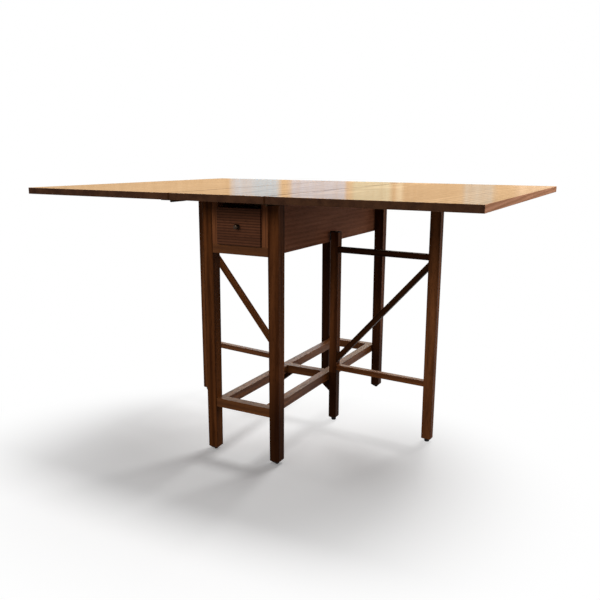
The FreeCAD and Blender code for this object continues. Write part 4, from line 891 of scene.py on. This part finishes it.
panel("key_above_behind", (0.1, 1.4, 6.0), (0.0, -0.1, 0.0),
      width=4.6, height=1.4, power=178.0, tint="#ffffff", on_floor=True)
panel("side_right", (4.2, 1.2, 3.3), (0.2, 0.0, 0.4), width=1.6, height=1.6, power=55.0, tint="#fff4e8")
panel("side_low", (3.4, 1.5, 0.8), (0.1, 0.0, 0.4), width=1.4, height=0.9, power=22.0, tint="#ffeedd")
panel("back_low", (1.0, 3.3, 1.8), (0.0, -0.1, 0.0), width=1.5, height=0.9, power=75.0, tint="#ffffff")
panel("fill_in_front", (-0.6, -4.2, 2.4), (0.0, 0.0, 0.4),
      width=3.0, height=1.6, power=100.0, tint="#fff6ec", mirrored=True)
lamp_away, lamp_level = 6.0, 2.3
opposite = eye + ahead * lamp_away
panel("back_high", (opposite.x, opposite.y, lamp_level), (0.0, 0.0, 0.3),
      width=3.2, height=1.4, power=95.0, tint="#ffe8cf", mirrored=True)
# The last lamp lights the floor alone, and only legs, low bars and gates stand in its way, so every foot gets
# a short shadow.
under = panel("under_the_top", (0.5, 2.3, 5.0), (0.0, -0.3, 0.0),
              width=1.5, height=1.5, power=90.0, tint="#ffffff", on_floor=True)
lit_floor = bpy.data.collections.new("floor_alone")
lit_floor.objects.link(floor)
under.light_linking.receiver_collection = lit_floor
footwork = bpy.data.collections.new("legs_and_low_bars")
standing = ("leg_front", "leg_back", "stub_leg", "stretcher", "gusset", "gate_left", "gate_right")
for name in solids.keys():
    if name.startswith(standing):
        footwork.objects.link(solids[name])
under.light_linking.blocker_collection = footwork

# The wall is warm plaster with windows, their edges blurred and the folds of a thin curtain in them.
wall_away, wall_foot, wall_head, wall_half, blur, fold_width = 6.3, 0.5, 1.4, 4.28, 0.02, 0.06
plaster = "#a99b83"
# Where each window or stretch of plaster starts, in metres to the right of the middle.
stretches = (
    (-0.64, "#7fc4ea"), (-0.44, "#52c6f4"), (-0.20, plaster), (-0.09, "#85bee8"), (0.42, plaster),
    (0.48, "#b2cab6"), (0.84, plaster), (0.89, "#d0d0b8"), (0.95, plaster), (1.52, "#99b2b6"),
    (1.80, plaster), (2.00, "#cebeab"),
)
windowed_wall, tree, _ = new_material("windowed_wall")
tree.nodes.remove(tree.nodes["Principled BSDF"])
place = add(tree, "ShaderNodeTexCoord")
along_wall = add(tree, "ShaderNodeSeparateXYZ", {"Vector": place.outputs["Object"]})
share = add(tree, "ShaderNodeMapRange", {
    "Value": along_wall.outputs["X"], "From Min": -wall_half, "From Max": wall_half,
})
ramp = add(tree, "ShaderNodeValToRGB", {"Fac": share.outputs["Result"]})
stops = ramp.color_ramp.elements
stops[0].color, stops[1].color = linear(plaster), linear(stretches[-1][1])
shade = plaster
for begins, next_shade in stretches:
    for spot, colour in ((begins - blur, shade), (begins + blur, next_shade)):
        stops.new((spot + wall_half) / (2 * wall_half)).color = linear(colour)
    shade = next_shade
folds = add(tree, "ShaderNodeTexNoise", {
    "W": along_wall.outputs["X"], "Scale": 1 / fold_width, "Detail": 3.0,
}, noise_dimensions="1D")
lit = add(tree, "ShaderNodeMapRange", {
    "Value": folds.outputs["Fac"], "From Min": 0.3, "From Max": 0.7, "To Min": 2.1, "To Max": 2.7,
})
shining = add(tree, "ShaderNodeEmission", {"Color": ramp.outputs["Color"], "Strength": lit.outputs["Result"]})
tree.links.new(shining.outputs[0], tree.nodes["Material Output"].inputs["Surface"])
wall_shape = bpy.data.meshes.new("far_wall")
wall_shape.from_pydata([
    (-wall_half, 0.0, wall_foot), (wall_half, 0.0, wall_foot),
    (wall_half, 0.0, wall_head), (-wall_half, 0.0, wall_head),
], [], [(0, 1, 2, 3)])
wall_shape.materials.append(windowed_wall)
far_wall = bpy.data.objects.new("far_wall", wall_shape)
far_wall.location = (eye.x + ahead.x * wall_away, eye.y + ahead.y * wall_away, 0.0)
far_wall.rotation_euler = (0.0, 0.0, yaw)
far_wall.visible_camera = far_wall.visible_diffuse = far_wall.visible_shadow = False
bpy.context.scene.collection.objects.link(far_wall)


# Camera
# The photograph's view: standing in front of the drawer end, a little to the right and just above the top.
focal_pixels, picture_pixels, sensor_width = 669.28, 600, 36.0
forward = ahead * math.cos(pitch) - Vector((0.0, 0.0, math.sin(pitch)))
right = forward.cross(Vector((0.0, 0.0, 1.0))).normalized()
up = right.cross(forward)
tilted_right = right * math.cos(roll) + up * math.sin(roll)
tilted_up = up * math.cos(roll) - right * math.sin(roll)
lens = bpy.data.cameras.new("photo_view")
lens.sensor_width = sensor_width
lens.lens = focal_pixels / picture_pixels * sensor_width
camera = bpy.data.objects.new("photo_view", lens)
stand = Matrix((tilted_right, tilted_up, -forward)).transposed().to_4x4()
stand.translation = eye
camera.matrix_world = stand
bpy.context.scene.collection.objects.link(camera)
bpy.context.scene.camera = camera
bpy.context.scene.view_settings.view_transform = "Standard"
